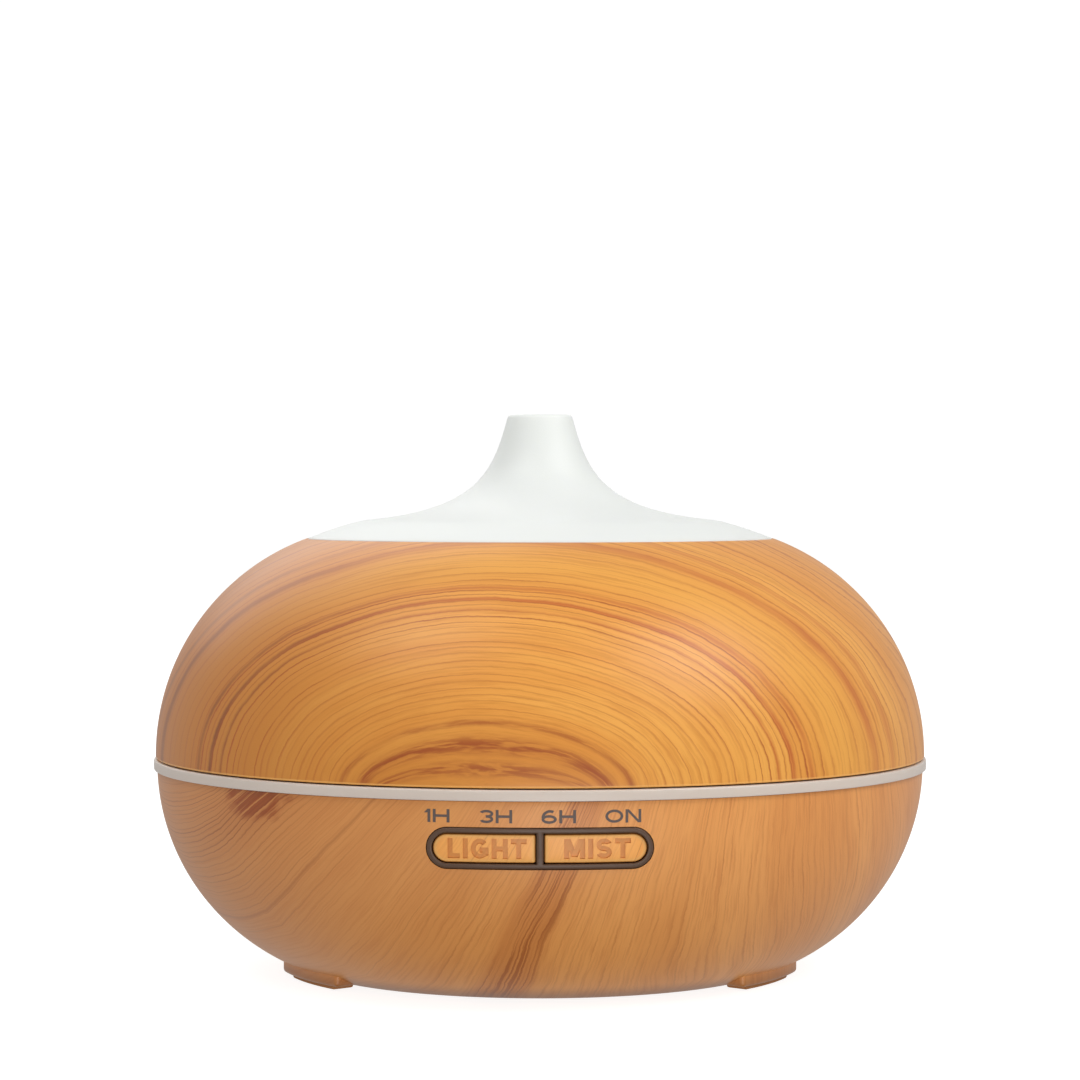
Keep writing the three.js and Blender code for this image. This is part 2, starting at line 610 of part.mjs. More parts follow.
function fanImpeller() {
  const cup = cut(
    disc(9.6, 6.9, 14.1, 0, 0, FINE_ROUND),
    disc(8.7, 6, 12.9, 0, 0, FINE_ROUND),
    disc(1.2, 12, 15, 0, 0, PIN_ROUND),
  );
  const sweep = disc(17.7, 7, 13.9, 0, 0, FINE_ROUND);
  const blades = Array.from({ length: FAN.blades }, (_, i) => {
    const blade = new THREE.BoxGeometry(9.6, 1.1, 11).rotateX(48 * DEG).translate(13.9, 0, 10.4);
    return common(solid(blade.rotateZ((i * 2 * Math.PI) / FAN.blades)), sweep);
  });
  return join(cup, ...blades).translate([0, FAN.y, 0]);
}

const fanShaft = () => disc(SHANK_R, FAN.bottom + 1.9, 13.9, 0, FAN.y, PIN_ROUND);
const fanBearing = () => tube(2.6, 1.15, FAN.bottom + 1.7, 11.6, 0, FAN.y, 16);

function fanStator() {
  const [bottom, top] = [7.2, 10.8];
  const round = disc(8.1, bottom, top, 0, FAN.y);
  const arms = [0, 90].map((a) => {
    const bar = new THREE.BoxGeometry(16, 3.6, top - bottom).rotateZ(a * DEG);
    return common(solid(bar.translate(0, FAN.y, (bottom + top) / 2)), round);
  });
  const core = disc(5.4, bottom, top, 0, FAN.y);
  return cut(join(core, ...arms), disc(4.1, bottom - 1, top + 1, 0, FAN.y));
}

// ---------------------------------------------------------------- circuit boards
function ledBoard() {
  const { inner, outer, z, thick, openAngle } = LED_BOARD;
  const shape = new THREE.Shape();
  const a0 = (-90 + openAngle) * DEG;
  const a1 = (270 - openAngle) * DEG;
  shape.absarc(0, 0, outer, a0, a1, false);
  shape.absarc(0, 0, inner, a1, a0, true);
  const lamps = LAMP_ANGLES.map((a) => {
    const lamp = new THREE.BoxGeometry(3.4, 3.4, 1.6).translate(0, -74, z + thick + 0.6);
    return solid(lamp.rotateZ(a * DEG));
  });
  return join(raised(shape, z, z + thick, FINE_ROUND), ...lamps);
}

function mainBoard() {
  const { x, halfX, halfY, z, thick } = BOARD;
  const top = z + thick;
  const board = block([x - halfX, -halfY, z], [x + halfX, halfY, top]);
  const sockets = [
    block([-29.5, -4, top - 0.1], [-26, 4, top + 3]),
    block([-29.5, -13, top - 0.1], [-26, -7, top + 3]),
    block([-55.5, 5, top - 0.1], [-52, 11, top + 3]),
    block([-37, -18.5, top - 0.1], [-29, -15.5, top + 3]),
    block([-36, 15, top - 0.1], [-30, 18.5, top + 3]),
  ];
  const chip = block([-47, -4, top - 0.1], [-40, 3, top + 1.2]);
  const holes = boardPlaces.map(([px, py]) => disc(HOLE_R, z - 1, top + 1, px, py, PIN_ROUND));
  return cut(join(board, chip, ...sockets), ...holes);
}

function heatSink() {
  const top = ON_BOARD + 8;
  const plate = block([-52, -12, ON_BOARD], [-45, -10.6, top]);
  const fins = [0, 1, 2, 3].map((i) => {
    const x = -52 + i * 1.9;
    return block([x, -15.6, ON_BOARD], [x + 0.9, -11.9, top]);
  });
  return join(plate, ...fins);
}

const driverTransistor = () => block([-51, -10.4, ON_BOARD + 1], [-46, -8.4, ON_BOARD + 7]);

function inductor() {
  const [x, y] = [-35.5, 6];
  const body = disc(3.6, ON_BOARD, ON_BOARD + 5, x, y, 20);
  return cut(body, disc(1.2, ON_BOARD + 3, ON_BOARD + 6, x, y, PIN_ROUND));
}

const capacitor = () => disc(2.5, ON_BOARD, ON_BOARD + 7.9, 0, 0, 16);

// ---------------------------------------------------------------- power inlet
function dcJack() {
  const nose = rod(JACK.noseR, 62, JACK.face - 0.2, 0, JACK.z);
  const body = block([-5.5, 55, JACK.z - 4.2], [5.5, 66.2, JACK.z + 5]);
  return cut(join(nose, body), rod(JACK.boreR, 59.5, 80, 0, JACK.z));
}

const dcJackPin = () => rod(1, 59.7, JACK.face - 1.6, 0, JACK.z, PIN_ROUND);

// ---------------------------------------------------------------- wiring
function transducerCable() {
  const points = [
    [-3, -2, 20],
    [-3.6, -1.6, 18.6],
    [-5, -1, 17],
    [-8, 0, 15.9],
    [-14, 0, 15.8],
    [-20, 0, 15.8],
    [-25.7, 0, 15.6],
  ];
  return cable(THIN_CABLE_R, points, 9);
}

function fanCable() {
  const points = [
    [-20.8, -8, 8],
    [-21.5, -8.6, 8.4],
    [-22.6, -9.4, 10.5],
    [-23.2, -10, 13.6],
    [-24.2, -10, 14.9],
    [-25.7, -10, 15],
  ];
  return cable(THIN_CABLE_R, points, 8);
}

function ledCable() {
  const points = [
    [-73.4, 8, 36.5],
    [-73, 8, 33],
    [-71.5, 8, 27],
    [-67.5, 8, 20.5],
    [-62, 8, 16.6],
    [-55.8, 8, 15],
  ];
  return cable(THIN_CABLE_R, points, 9);
}

function buttonCable() {
  const points = [
    [0, -66.5, 31.3],
    [-2, -64.8, 30.8],
    [-6, -62.5, 26],
    [-14, -56, 19],
    [-25, -42, 15.4],
    [-31, -30, 15],
    [-33, -22, 15],
    [-33, -18.8, 15],
  ];
  return cable(THICK_CABLE_R, points, 14);
}

function jackCable() {
  const points = [
    [-1.5, 54.2, 17],
    [-3, 53, 16.8],
    [-12, 49, 15],
    [-24, 38, 15],
    [-31, 27, 15],
    [-33, 18.8, 15],
  ];
  return cable(THICK_CABLE_R, points, 11);
}

// ---------------------------------------------------------------- fasteners
const tankScrew = () => screw(2.6, 1.8, 1.4, TANK_SCREW_SEAT - 0.1, 20.6);
const plateScrew = () => screw(2.2, 1.1, SHANK_R, PLATE_Z - 0.1, 9.2);
const retainerScrew = () => screw(2.1, 1.2, 0.9, RETAINER.bottom - 0.1, 22.4);
const fanScrew = () => screw(2.2, 1.3, SHANK_R, FAN.bottom + FAN.thick + 0.1, 2.8);
const boardScrew = () => screw(2.1, 1.3, SHANK_R, ON_BOARD, 6.8);

// ---------------------------------------------------------------- assembly
const diffuser = new THREE.Group();
diffuser.add(
  part("upper_shell", upperShell(), woodPrint),
  part("nozzle_cap", nozzleCap(), whiteCap),
  part("inner_cover", innerCover(), tankWhite),
  part("water_tank", waterTank(), tankWhite),
  part("air_outlet_hood", airOutletHood(), tankWhite),
  part("light_ring", lightRing(), ringMilk),
  part("lower_shell", lowerShell(), woodPrint),
  part("bottom_plate", bottomPlate(), darkPlastic),
  ...footPads(),
  part("control_bezel", controlBezel(), bezelBrown),
  part("light_button", panelButton(-1), woodPrint),
  part("mist_button", panelButton(1), woodPrint),
  part("light_switch_plunger", switchPlunger(-1), darkPlastic),
  part("mist_switch_plunger", switchPlunger(1), darkPlastic),
  part("light_switch", tactSwitch(-1), darkPlastic),
  part("mist_switch", tactSwitch(1), darkPlastic),
  part("button_board", buttonBoard(), boardGreen),
  part("button_board_screw_1", buttonBoardScrew(-1), steel),
  part("button_board_screw_2", buttonBoardScrew(1), steel),
  part("fan_frame", fanFrame(), darkPlastic),
  part("fan_impeller", fanImpeller(), darkPlastic),
  part("fan_shaft", fanShaft(), steel),
  part("fan_bearing", fanBearing(), brass),
  part("fan_stator", fanStator(), copper),
  part("transducer_disc", transducerDisc(), steel),
  part("transducer_gasket", transducerGasket(), siliconeWhite),
  part("transducer_retainer", transducerRetainer(), darkPlastic),
  part("led_board", ledBoard(), boardGreen),
  part("main_board", mainBoard(), boardGreen),
  part("heat_sink", heatSink(), aluminium),
  part("driver_transistor", driverTransistor(), darkPlastic),
  part("inductor", inductor(), copper),
  part("dc_jack", dcJack(), darkPlastic),
  part("dc_jack_pin", dcJackPin(), steel),
  part("transducer_cable", transducerCable(), cableBlack),
  part("fan_cable", fanCable(), cableBlack),
  part("led_cable", ledCable(), cableBlack),
  part("button_cable", buttonCable(), cableBlack),
  part("jack_cable", jackCable(), cableBlack),
  ...copies("capacitor", capacitor(), darkPlastic, capacitorPlaces),
  ...copies("tank_screw", tankScrew(), steel, screwPlaces),
  ...copies("plate_screw", plateScrew(), steel, platePlaces),
  ...copies("retainer_screw", retainerScrew(), steel, retainerPlaces),
  ...copies("fan_screw", fanScrew(), steel, fanPlaces),
  ...copies("board_screw", boardScrew(), steel, boardPlaces),
);

export default diffuser;
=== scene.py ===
"""Looks of an ultrasonic essential oil diffuser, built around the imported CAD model.

Lengths are millimetres in the CAD model's frame until a mesh is made. MM turns them into metres.
+Z is up, the front with the buttons looks along -Y, and z = 0 is the floor under the rubber pads.
"""
from math import asin, atan2, cos, pi, radians, sin, sqrt, tan

import bmesh
import bpy
from mathutils import Matrix, Vector


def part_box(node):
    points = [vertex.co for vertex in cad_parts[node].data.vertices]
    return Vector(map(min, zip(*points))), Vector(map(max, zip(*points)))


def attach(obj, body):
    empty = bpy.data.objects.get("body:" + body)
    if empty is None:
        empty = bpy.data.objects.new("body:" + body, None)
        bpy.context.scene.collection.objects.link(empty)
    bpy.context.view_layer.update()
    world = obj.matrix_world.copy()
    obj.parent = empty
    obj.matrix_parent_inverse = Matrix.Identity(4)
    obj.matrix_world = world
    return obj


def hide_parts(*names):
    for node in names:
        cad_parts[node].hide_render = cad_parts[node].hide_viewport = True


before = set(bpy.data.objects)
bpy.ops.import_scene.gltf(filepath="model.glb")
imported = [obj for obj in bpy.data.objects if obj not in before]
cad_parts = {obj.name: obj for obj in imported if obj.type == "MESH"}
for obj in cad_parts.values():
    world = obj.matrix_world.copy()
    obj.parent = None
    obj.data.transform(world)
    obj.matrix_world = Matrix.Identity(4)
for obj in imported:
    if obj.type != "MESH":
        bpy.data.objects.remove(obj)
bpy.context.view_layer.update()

MM = 0.001


def cad_mm(node):
    """The lowest and highest corners of a CAD node, in millimetres."""
    low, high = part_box(node)
    return low / MM, high / MM


# ---------------- driving dimensions, in millimetres
SIDES = 192  # sides of a large turned piece
FINE_SIDES = 224  # sides of the outer shells and the ring
INNER_SIDES = 160  # sides of turned pieces that are mostly hidden
WALL = 2.2
RING_HIGH = cad_mm("light_ring")[1]
RING_TOP, RING_R = RING_HIGH.z, RING_HIGH.x
RING_BOTTOM = RING_TOP - 2.2
RING_MID = (RING_TOP + RING_BOTTOM) / 2
CAP_TOP = cad_mm("nozzle_cap")[1].z
SHELL_TOP = cad_mm("lower_shell")[1].z
COVER_LAP = 0.12  # how far the cover comes lower, for a narrower gap at the ring
COVER_BOTTOM = cad_mm("upper_shell")[0].z - COVER_LAP
LOWER_ARC = (36.2, RING_MID + 0.25, 47.1)  # centre radius, centre height and radius of the outside
UPPER_ARC = (33.8, RING_MID + 1.8, 49.8)
UNDERSIDE = 0.6
SEAM_R = 50.8
LEDGE_R, LEDGE_TOP, LEDGE_THICK = 46.5, 91.9, 1.6
TANK_R, TANK_WALL, TANK_TOP = 69.0, 2.0, cad_mm("water_tank")[1].z
PANEL_Z, PANEL_HALF_X, PANEL_HALF_Z = 34.5, 22.15, 4.1
PANEL_FRAME, PANEL_DIVIDER = 1.05, 1.35
KEY_GAP = 0.15  # between a button and the frame or divider
FOOT_ANGLES = (-60, 60, 120, -120)  # from the front, turning towards +X
POST_R = 53.5
FOOT_IN, FOOT_OUT, FOOT_HALF_ANGLE = 49.4, 57.6, 13
FOOT_LOW, FOOT_TOP, FOOT_ROUNDING = 0.9, 6.2, 0.95
PAD_HALF, PAD_HALF_ANGLE, PAD_TOP = 2.7, 10, 1.8
PLATE_R, PLATE_LOW, PLATE_TOP = 44.0, 2.0, 3.6
FAN_Y = 6.0
JACK_Z, JACK_FACE = 17.0, 68.8


# ---------------- outlines and meshes
def arc(x, y, radius, start, turn, steps):
    """Points on an arc about (x, y), from a start angle through a turn, both in radians."""
    angles = [start + turn * k / steps for k in range(steps + 1)]
    return [(x + radius * cos(a), y + radius * sin(a)) for a in angles]


def circle(radius, sides):
    """Points round the origin."""
    return arc(0, 0, radius, 0, 2 * pi, sides)[:-1]


def fillet(points, steps=4):
    """A closed outline whose points may carry a third number, the radius that rounds that corner."""
    out = []
    count = len(points)
    for i, point in enumerate(points):
        here = Vector(point[:2])
        radius = point[2] if len(point) > 2 else 0.0
        if radius <= 0:
            out.append(tuple(here))
            continue
        before = (Vector(points[i - 1][:2]) - here).normalized()
        after = (Vector(points[(i + 1) % count][:2]) - here).normalized()
        half = before.angle(after) / 2
        middle = here + (before + after).normalized() * (radius / sin(half))
        start = here + before * (radius / tan(half))
        end = here + after * (radius / tan(half))
        a0 = atan2(start.y - middle.y, start.x - middle.x)
        turn = (atan2(end.y - middle.y, end.x - middle.x) - a0 + pi) % (2 * pi) - pi
        out += arc(middle.x, middle.y, radius, a0, turn, steps)
    return out


def arc_points(profile, inset, z0, z1, steps):
    """Points up a shell's profile (centre radius, centre height, radius), set in, between two heights."""
    centre, height, radius = profile
    radius -= inset
    a0 = asin((z0 - height) / radius)
    a1 = asin((z1 - height) / radius)
    return arc(centre, height, radius, a0, a1 - a0, steps)


def arc_radius(profile, z, proud=0.0):
    """The radius of a shell's outside at a height, or of a surface that stands proud of it."""
    centre, height, radius = profile
    return centre + sqrt((radius + proud) ** 2 - (z - height) ** 2)


def bezier_points(controls, steps):
    """Points along a Bezier curve of three or four control points."""
    def at(t):
        level = [Vector(c) for c in controls]
        while len(level) > 1:
            level = [a.lerp(b, t) for a, b in zip(level, level[1:])]
        return tuple(level[0])
    return [at(i / steps) for i in range(steps + 1)]


def around(radius, degrees):
    """A point at an angle from the front, turning towards +X."""
    a = radians(degrees)
    return radius * sin(a), -radius * cos(a)


def new_object(name, mesh):
    obj = bpy.data.objects.new(name, mesh)
    bpy.context.scene.collection.objects.link(obj)
    return obj


def from_bmesh(name, bm):
    """A Blender object from a bmesh in millimetres."""
    bmesh.ops.remove_doubles(bm, verts=bm.verts, dist=1e-4)
    bmesh.ops.recalc_face_normals(bm, faces=bm.faces)
    bmesh.ops.scale(bm, vec=(MM,) * 3, verts=bm.verts)
    mesh = bpy.data.meshes.new(name)
    bm.to_mesh(mesh)
    bm.free()
    return new_object(name, mesh)


def smooth(obj, degrees=38):
    """Smooth shading, with edges sharper than this left crisp."""
    obj.data.shade_smooth()
    obj.data.set_sharp_from_angle(angle=radians(degrees))
    return obj


def turned(name, outline, sides=SIDES):
    """A closed outline of (radius, height) points turned about Z. Points on the axis are shared."""
    bm = bmesh.new()
    rings = []
    for r, z in outline:
        points = circle(r, sides) if r >= 1e-6 else [(0, 0)]
        rings.append([bm.verts.new((x, y, z)) for x, y in points])
    for ring, following in zip(rings, rings[1:] + rings[:1]):
        if len(ring) == 1 and len(following) == 1:
            continue
        for k in range(sides):
            corners = [ring[k % len(ring)], ring[(k + 1) % len(ring)]]
            corners += [following[(k + 1) % len(following)], following[k % len(following)]]
            bm.faces.new(list(dict.fromkeys(corners)))
    return from_bmesh(name, bm)


def prism(name, outline, low, high, place=Matrix.Identity(4)):
    """A flat outline of (x, y) points raised from low to high, then put in place."""
    bm = bmesh.new()
    bottom = [bm.verts.new((x, y, low)) for x, y in outline]
    top = [bm.verts.new((x, y, high)) for x, y in outline]
    bm.faces.new(bottom[::-1])
    bm.faces.new(top)
    for i in range(len(outline)):
        j = (i + 1) % len(outline)
        bm.faces.new((bottom[i], bottom[j], top[j], top[i]))
    bmesh.ops.transform(bm, matrix=place, verts=bm.verts)
    return from_bmesh(name, bm)


def rounded_box(name, low, high, radius, segments=3):
    """A box between two corners with rounded edges."""
    bm = bmesh.new()
    bmesh.ops.create_cube(bm, size=1.0)
    low, high = Vector(low), Vector(high)
    for v in bm.verts:
        v.co = Vector(low[i] + (v.co[i] + 0.5) * (high[i] - low[i]) for i in range(3))
    bmesh.ops.bevel(bm, geom=list(bm.edges), offset=radius, segments=segments, affect="EDGES", profile=0.5)
    return from_bmesh(name, bm)


def along_y(x=0.0, y=0.0, z=0.0):
    """Turns a piece made along +Z to lie along +Y, moved to a place in millimetres."""
    return Matrix.Translation((x, y, z)) @ Matrix.Rotation(-pi / 2, 4, "X")


def place(obj, matrix_mm):
    """Moves a mesh's points by a matrix in millimetres. The object itself stays at the origin."""
    matrix = matrix_mm.copy()
    matrix.translation = matrix.translation * MM
    obj.data.transform(matrix)
    return obj


def bevelled(obj, width, segments=3, degrees=40):
    """Rounds the edges sharper than an angle and keeps the result."""
    modifier = obj.modifiers.new("Bevel", "BEVEL")
    modifier.width = width * MM
    modifier.segments = segments
    modifier.limit_method = "ANGLE"
    modifier.angle_limit = radians(degrees)
    return applied(obj)


def applied(obj):
    """Replaces an object's mesh with the mesh its modifiers make."""
    depsgraph = bpy.context.evaluated_depsgraph_get()
    depsgraph.update()
    mesh = bpy.data.meshes.new_from_object(obj.evaluated_get(depsgraph), depsgraph=depsgraph)
    obj.modifiers.clear()
    obj.data = mesh
    return obj


def evened(obj):
    """Shading in which large flat faces stay flat right up to their rounded edges."""
    modifier = obj.modifiers.new("Weighted", "WEIGHTED_NORMAL")
    modifier.keep_sharp = True
    return applied(obj)


def combine(obj, others, operation):
    """Joins others to an object or cuts them from it, and removes them."""
    for other in others:
        modifier = obj.modifiers.new(operation, "BOOLEAN")
        modifier.operation = operation
        modifier.solver = "EXACT"
        modifier.object = other
    applied(obj)
    for other in others:
        bpy.data.objects.remove(other)
    return obj


def cut(obj, tools):
    """Cuts tools from an object, and removes them."""
    return combine(obj, tools, "DIFFERENCE")


def dress(obj, material):
    """Gives an object one material in place of any it has."""
    obj.data.materials.clear()
    obj.data.materials.append(material)


def piece(obj, body, material, replaced=()):
    """Makes an object a piece of the diffuser: its body, material and the CAD nodes it stands for."""
    dress(obj, material)
    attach(obj, body)
    if replaced:
        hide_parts(*replaced)
    return obj


# ---------------- material kit
class Material:
    """A node material, with short calls for the nodes it is built from."""

    def __init__(self, name, **sockets):
        self.material = bpy.data.materials.new(name)
        self.material.use_nodes = True
        self.tree = self.material.node_tree
        self.shader = next(n for n in self.tree.nodes if n.type == "BSDF_PRINCIPLED")
        self.set(**sockets)
        self.coordinates = None

    def set(self, **sockets):
        """Sets the shader's sockets by name, with _ for a space. A node's output is linked."""
        for name, value in sockets.items():
            self.feed(self.shader.inputs[name.replace("_", " ")], value)

    def feed(self, socket, value):
        if isinstance(value, bpy.types.NodeSocket):
            self.tree.links.new(value, socket)
        elif isinstance(value, (tuple, list)) and len(value) == 3 and socket.type == "RGBA":
            socket.default_value = (*value, 1.0)
        else:
            socket.default_value = value

    def node(self, kind, output=0, settings=None, **inputs):
        """A new shader node. Inputs are given as i0, i1 and so on, or by name with _ for a space."""
        made = self.tree.nodes.new("ShaderNode" + kind)
        for key, value in (settings or {}).items():
            setattr(made, key, value)
        for key, value in inputs.items():
            known = key[0] == "i" and key[1:].isdigit()
            socket = made.inputs[int(key[1:])] if known else made.inputs[key.replace("_", " ")]
            self.feed(socket, value)
        return made.outputs[output]

    def math(self, operation, a, b=0.0):
        return self.node("Math", settings={"operation": operation}, i0=a, i1=b)

    def add(self, a, b):
        return self.math("ADD", a, b)

    def subtract(self, a, b):
        return self.math("SUBTRACT", a, b)

    def times(self, product, *others):
        for other in others:
            product = self.math("MULTIPLY", product, other)
        return product

    def plus(self, a, b, share):
        """The first number and a share of the second."""
        return self.add(a, self.times(b, share))

    def step(self, value, low, high):
        """0 below low, 1 above high and smooth between. With low above high it falls."""
        settings = {"interpolation_type": "SMOOTHSTEP"}
        before, after = (1.0, 0.0) if low > high else (0.0, 1.0)
        low, high = min(low, high), max(low, high)
        return self.node("MapRange", settings=settings, Value=value, From_Min=low, From_Max=high,
                         To_Min=before, To_Max=after)

    def hypot(self, a, b):
        return self.math("SQRT", self.add(self.times(a, a), self.times(b, b)))

    def span(self, value, low, high):
        """How far the value has come from low towards high, in its own units."""
        return self.math("MINIMUM", self.math("MAXIMUM", self.subtract(value, low), 0.0), high - low)

    def bump_at(self, value, centre, half):
        """1 where value is at centre, falling to 0 at half away."""
        distance = self.math("ABSOLUTE", self.subtract(value, centre))
        return self.step(distance, half, 0.0)

    def millimetres(self):
        """The object's own coordinates in millimetres."""
        if self.coordinates is None:
            where = self.node("TexCoord", output=3)
            scale = {"operation": "SCALE"}
            self.coordinates = self.node("VectorMath", settings=scale, i0=where, i3=1 / MM)
        return self.coordinates

    def split(self, vector):
        return self.node("SeparateXYZ", i0=vector).node.outputs

    def join(self, x, y, z):
        return self.node("CombineXYZ", i0=x, i1=y, i2=z)

    def noise(self, where, scale, detail=2.0, roughness=0.5):
        return self.node("TexNoise", Vector=where, Scale=scale, Detail=detail, Roughness=roughness)

    def noise_line(self, value, scale):
        """Noise along one number."""
        return self.node("TexNoise", settings={"noise_dimensions": "1D"}, W=value, Scale=scale,
                         Detail=2.0, Roughness=0.5)

    def mix(self, factor, a, b):
        """A mix of two colours."""
        made = self.tree.nodes.new("ShaderNodeMix")
        made.data_type = "RGBA"
        self.feed(made.inputs[0], factor)
        self.feed(made.inputs[6], a)
        self.feed(made.inputs[7], b)
        return made.outputs[2]

    def paint(self, under, *layers):
        """Colours laid one over the other, each given with the mask it is in and how strong it is."""
        for colour, mask, amount in layers:
            under = self.mix(self.times(mask, amount), under, colour)
        return under

    def bump(self, height, distance_mm, strength=1.0):
        """Relief on the surface, from a height between 0 and 1."""
        made = self.node("Bump", Strength=strength, Distance=distance_mm * MM, Height=height)
        self.set(Normal=made)
        return self


def srgb(red, green, blue):
    """A colour given as 0 to 255 screen values, in linear light."""
    def linear(value):
        value /= 255
        return value / 12.92 if value <= 0.04045 else ((value + 0.055) / 1.055) ** 2.4
    return tuple(linear(v) for v in (red, green, blue))


# ---------------- wood print
SATIN = {"Coat_Weight": 0.35, "Coat_Roughness": 0.38, "IOR": 1.4}
ARCH_SPACING, SLANT_SPACING = 1.35, 1.3  # between growth lines
DARK_BAND, PALE_BAND = 37.5, 46.0  # how far out from the core of the arches
DARK_RINGS = (  # how far out, half width, strength
    (36.4, 0.5, 0.6), (38.6, 0.6, 1.0), (41.0, 0.55, 0.75),
    (50.6, 1.0, 0.7), (53.4, 0.6, 0.5), (64.0, 2.6, 0.2),
)
CORE_SMEARS = ((14.0, 1.1, 0.8), (9.6, 2.8, 1.0), (5.0, 2.4, 0.9))
KNOT_X, KNOT_Z = -57.0, RING_MID - 3.0
KNOT_HALF_X, KNOT_HALF_Z = 7.0, 4.5
STREAK_AT, FINE_STREAK_AT = 10.0, -31.0  # growth-line numbers on the base
SHADED_BELOW = 4.4  # height under which painted shade darkens the base's print, standing for the shadow near the floor


def wandering(m, field, where, noises):
    """A field pushed about by noises, each given as scale, detail and reach."""
    for scale, detail, reach in noises:
        field = m.plus(field, m.subtract(m.noise(where, scale, detail), 0.5), reach)
    return field


def arched_field(m, x, y, z, where):
    """How far out a point lies in flat growth rings round a line to the back, and its place along them."""
    flatness, core_half = 1.52, 13.5
    core_x, drift, tilt = -11.5, 0.1, 0.05
    rise = m.subtract(z, RING_MID)
    depth = m.add(y, RING_R)
    centre = m.add(m.times(depth, drift), core_x)
    across = m.times(m.subtract(x, centre), 1 / flatness)
    ends = m.add(m.hypot(m.subtract(across, core_half), rise), m.hypot(m.add(across, core_half), rise))
    spread = m.subtract(m.math("POWER", m.times(ends, 0.5), 2.0), core_half * core_half)
    field = m.math("SQRT", m.math("MAXIMUM", spread, 0.01))
    field = m.plus(field, depth, tilt)
    field = wandering(m, field, where, ((0.02, 1.0, 2.6), (0.09, 2.0, 0.8), (0.9, 2.0, 0.25)))
    return field, m.times(m.math("ARCTAN2", rise, across), 30.0)


def slanted_field(m, x, y, z, where):
    """The growth-line number of grain that leans at the front's left and is upright at its right."""
    lean, fan_out, turn_back = 0.58, 0.012, 0.25
    rise = m.subtract(z, RING_MID)
    upright = m.subtract(x, m.times(rise, lean))
    field = m.math("DIVIDE", upright, m.subtract(1.0, m.times(rise, fan_out)))
    field = m.plus(field, m.span(y, -50.0, 90.0), turn_back)
    field = wandering(m, field, where, ((0.02, 1.0, 5.0), (0.09, 2.0, 1.2), (0.9, 2.0, 0.3)))
    return field, m.plus(rise, x, 0.4)


def growth_lines(m, turns, wobble):
    """Thin lines between 0 and 1, one for each whole turn."""
    part = m.math("FRACT", m.plus(turns, wobble, 0.8))
    return m.times(m.step(part, 0.68, 0.92), m.step(part, 1.0, 0.93))


def strands(m, field, along, y, fineness, length):
    """Noise drawn out along the grain."""
    place = m.join(m.times(field, fineness), m.times(along, length), m.times(y, length * 0.5))
    return m.noise(place, 1.0, 2.0, 0.55)


def bands(m, field, rows):
    """The strongest of some soft bands, each given as its centre, half width and strength."""
    out = 0.0
    for centre, half, strength in rows:
        out = m.math("MAXIMUM", out, m.times(m.bump_at(field, centre, half), strength))
    return out


def left_tone_and_shade(m, x, y, start):
    """0 to the right of start, rising to 1 at the far left of the front: the mask of a darker left side,
    partly the print's own tone and partly painted shade.
    """
    return m.times(m.step(x, start, -80.0), m.step(y, 60.0, -20.0))


def grain_finish(m, where, colour, fibres, lines):
    """The printed colour, with satin roughness and a faint relief that follow it."""
    m.set(Base_Color=colour, Roughness=m.plus(0.36, fibres, 0.1))
    relief = m.plus(m.noise(where, 1.6, 2.0), lines, -0.15)
    return m.bump(relief, 0.015, 0.25).material


def arched_weight(m, field, broken):
    """How dark the cover's growth lines are: strong in the dark band, weak in the pale one and the core."""
    weight = m.plus(0.32, m.step(m.noise_line(field, 0.45), 0.42, 0.62), 0.36)
    weight = m.plus(weight, m.bump_at(field, DARK_BAND, 7.0), 0.3)
    weight = m.times(weight, m.subtract(1.0, m.times(m.bump_at(field, PALE_BAND, 5.0), 0.5)))
    weight = m.times(weight, m.step(field, 13.0, 19.0))
    return m.times(weight, m.plus(0.55, broken, 0.45))


def upper_wood():
    """Satin plastic printed with arched pine grain."""
    m = Material("wood_print_upper", **SATIN)
    where = m.millimetres()
    x, y, z = m.split(where)
    field, along = arched_field(m, x, y, z, where)
    turns = m.plus(m.times(field, 1 / ARCH_SPACING), m.span(field, 33.0, 42.0), 0.2)
    turns = m.plus(turns, m.span(field, 51.0, 120.0), 0.3)
    lines = growth_lines(m, turns, m.noise_line(field, 0.45))
    fibres = strands(m, field, along, y, 2.8, 0.12)
    broken = m.step(strands(m, field, along, y, 0.7, 0.12), 0.25, 0.62)
    patches = strands(m, field, along, y, 0.12, 0.012)
    left = left_tone_and_shade(m, x, y, -6.0)
    brushed = m.plus(0.2, m.step(strands(m, field, along, y, 1.1, 0.07), 0.35, 0.6), 0.75)
    # painted highlight: a pale line along the cover's rounded bottom edge, where that edge catches the light
    outermost = m.step(m.hypot(x, y), RING_R - 2.0, RING_R - 1.5)
    rim = m.times(m.step(z, COVER_BOTTOM + 0.5, COVER_BOTTOM + 0.3), outermost)
    ground = m.mix(m.step(patches, 0.36, 0.64), srgb(238, 168, 74), srgb(228, 152, 60))
    colour = m.paint(
        ground,
        (srgb(238, 170, 70), m.bump_at(field, PALE_BAND, 6.0), 0.7),
        (srgb(212, 132, 42), m.step(field, 20.0, 7.0), 0.8),
        # darker towards the left: partly the print's own tone, partly painted shade on the side away from the
        # key light
        (srgb(188, 112, 32), left, 0.85),
        (srgb(204, 128, 40), m.step(fibres, 0.42, 0.72), 0.45),
        (srgb(170, 76, 16), lines, arched_weight(m, field, broken)),
        # the dark rings also darken towards the left, partly painted shade
        (m.mix(left, srgb(190, 92, 30), srgb(124, 58, 12)),
         bands(m, field, DARK_RINGS), m.plus(0.5, broken, 0.4)),
        (srgb(160, 74, 18), bands(m, field, CORE_SMEARS), brushed),
        # painted highlight along the cover's bottom edge
        (srgb(252, 190, 104), rim, 0.6),
    )
    return grain_finish(m, where, colour, fibres, lines)


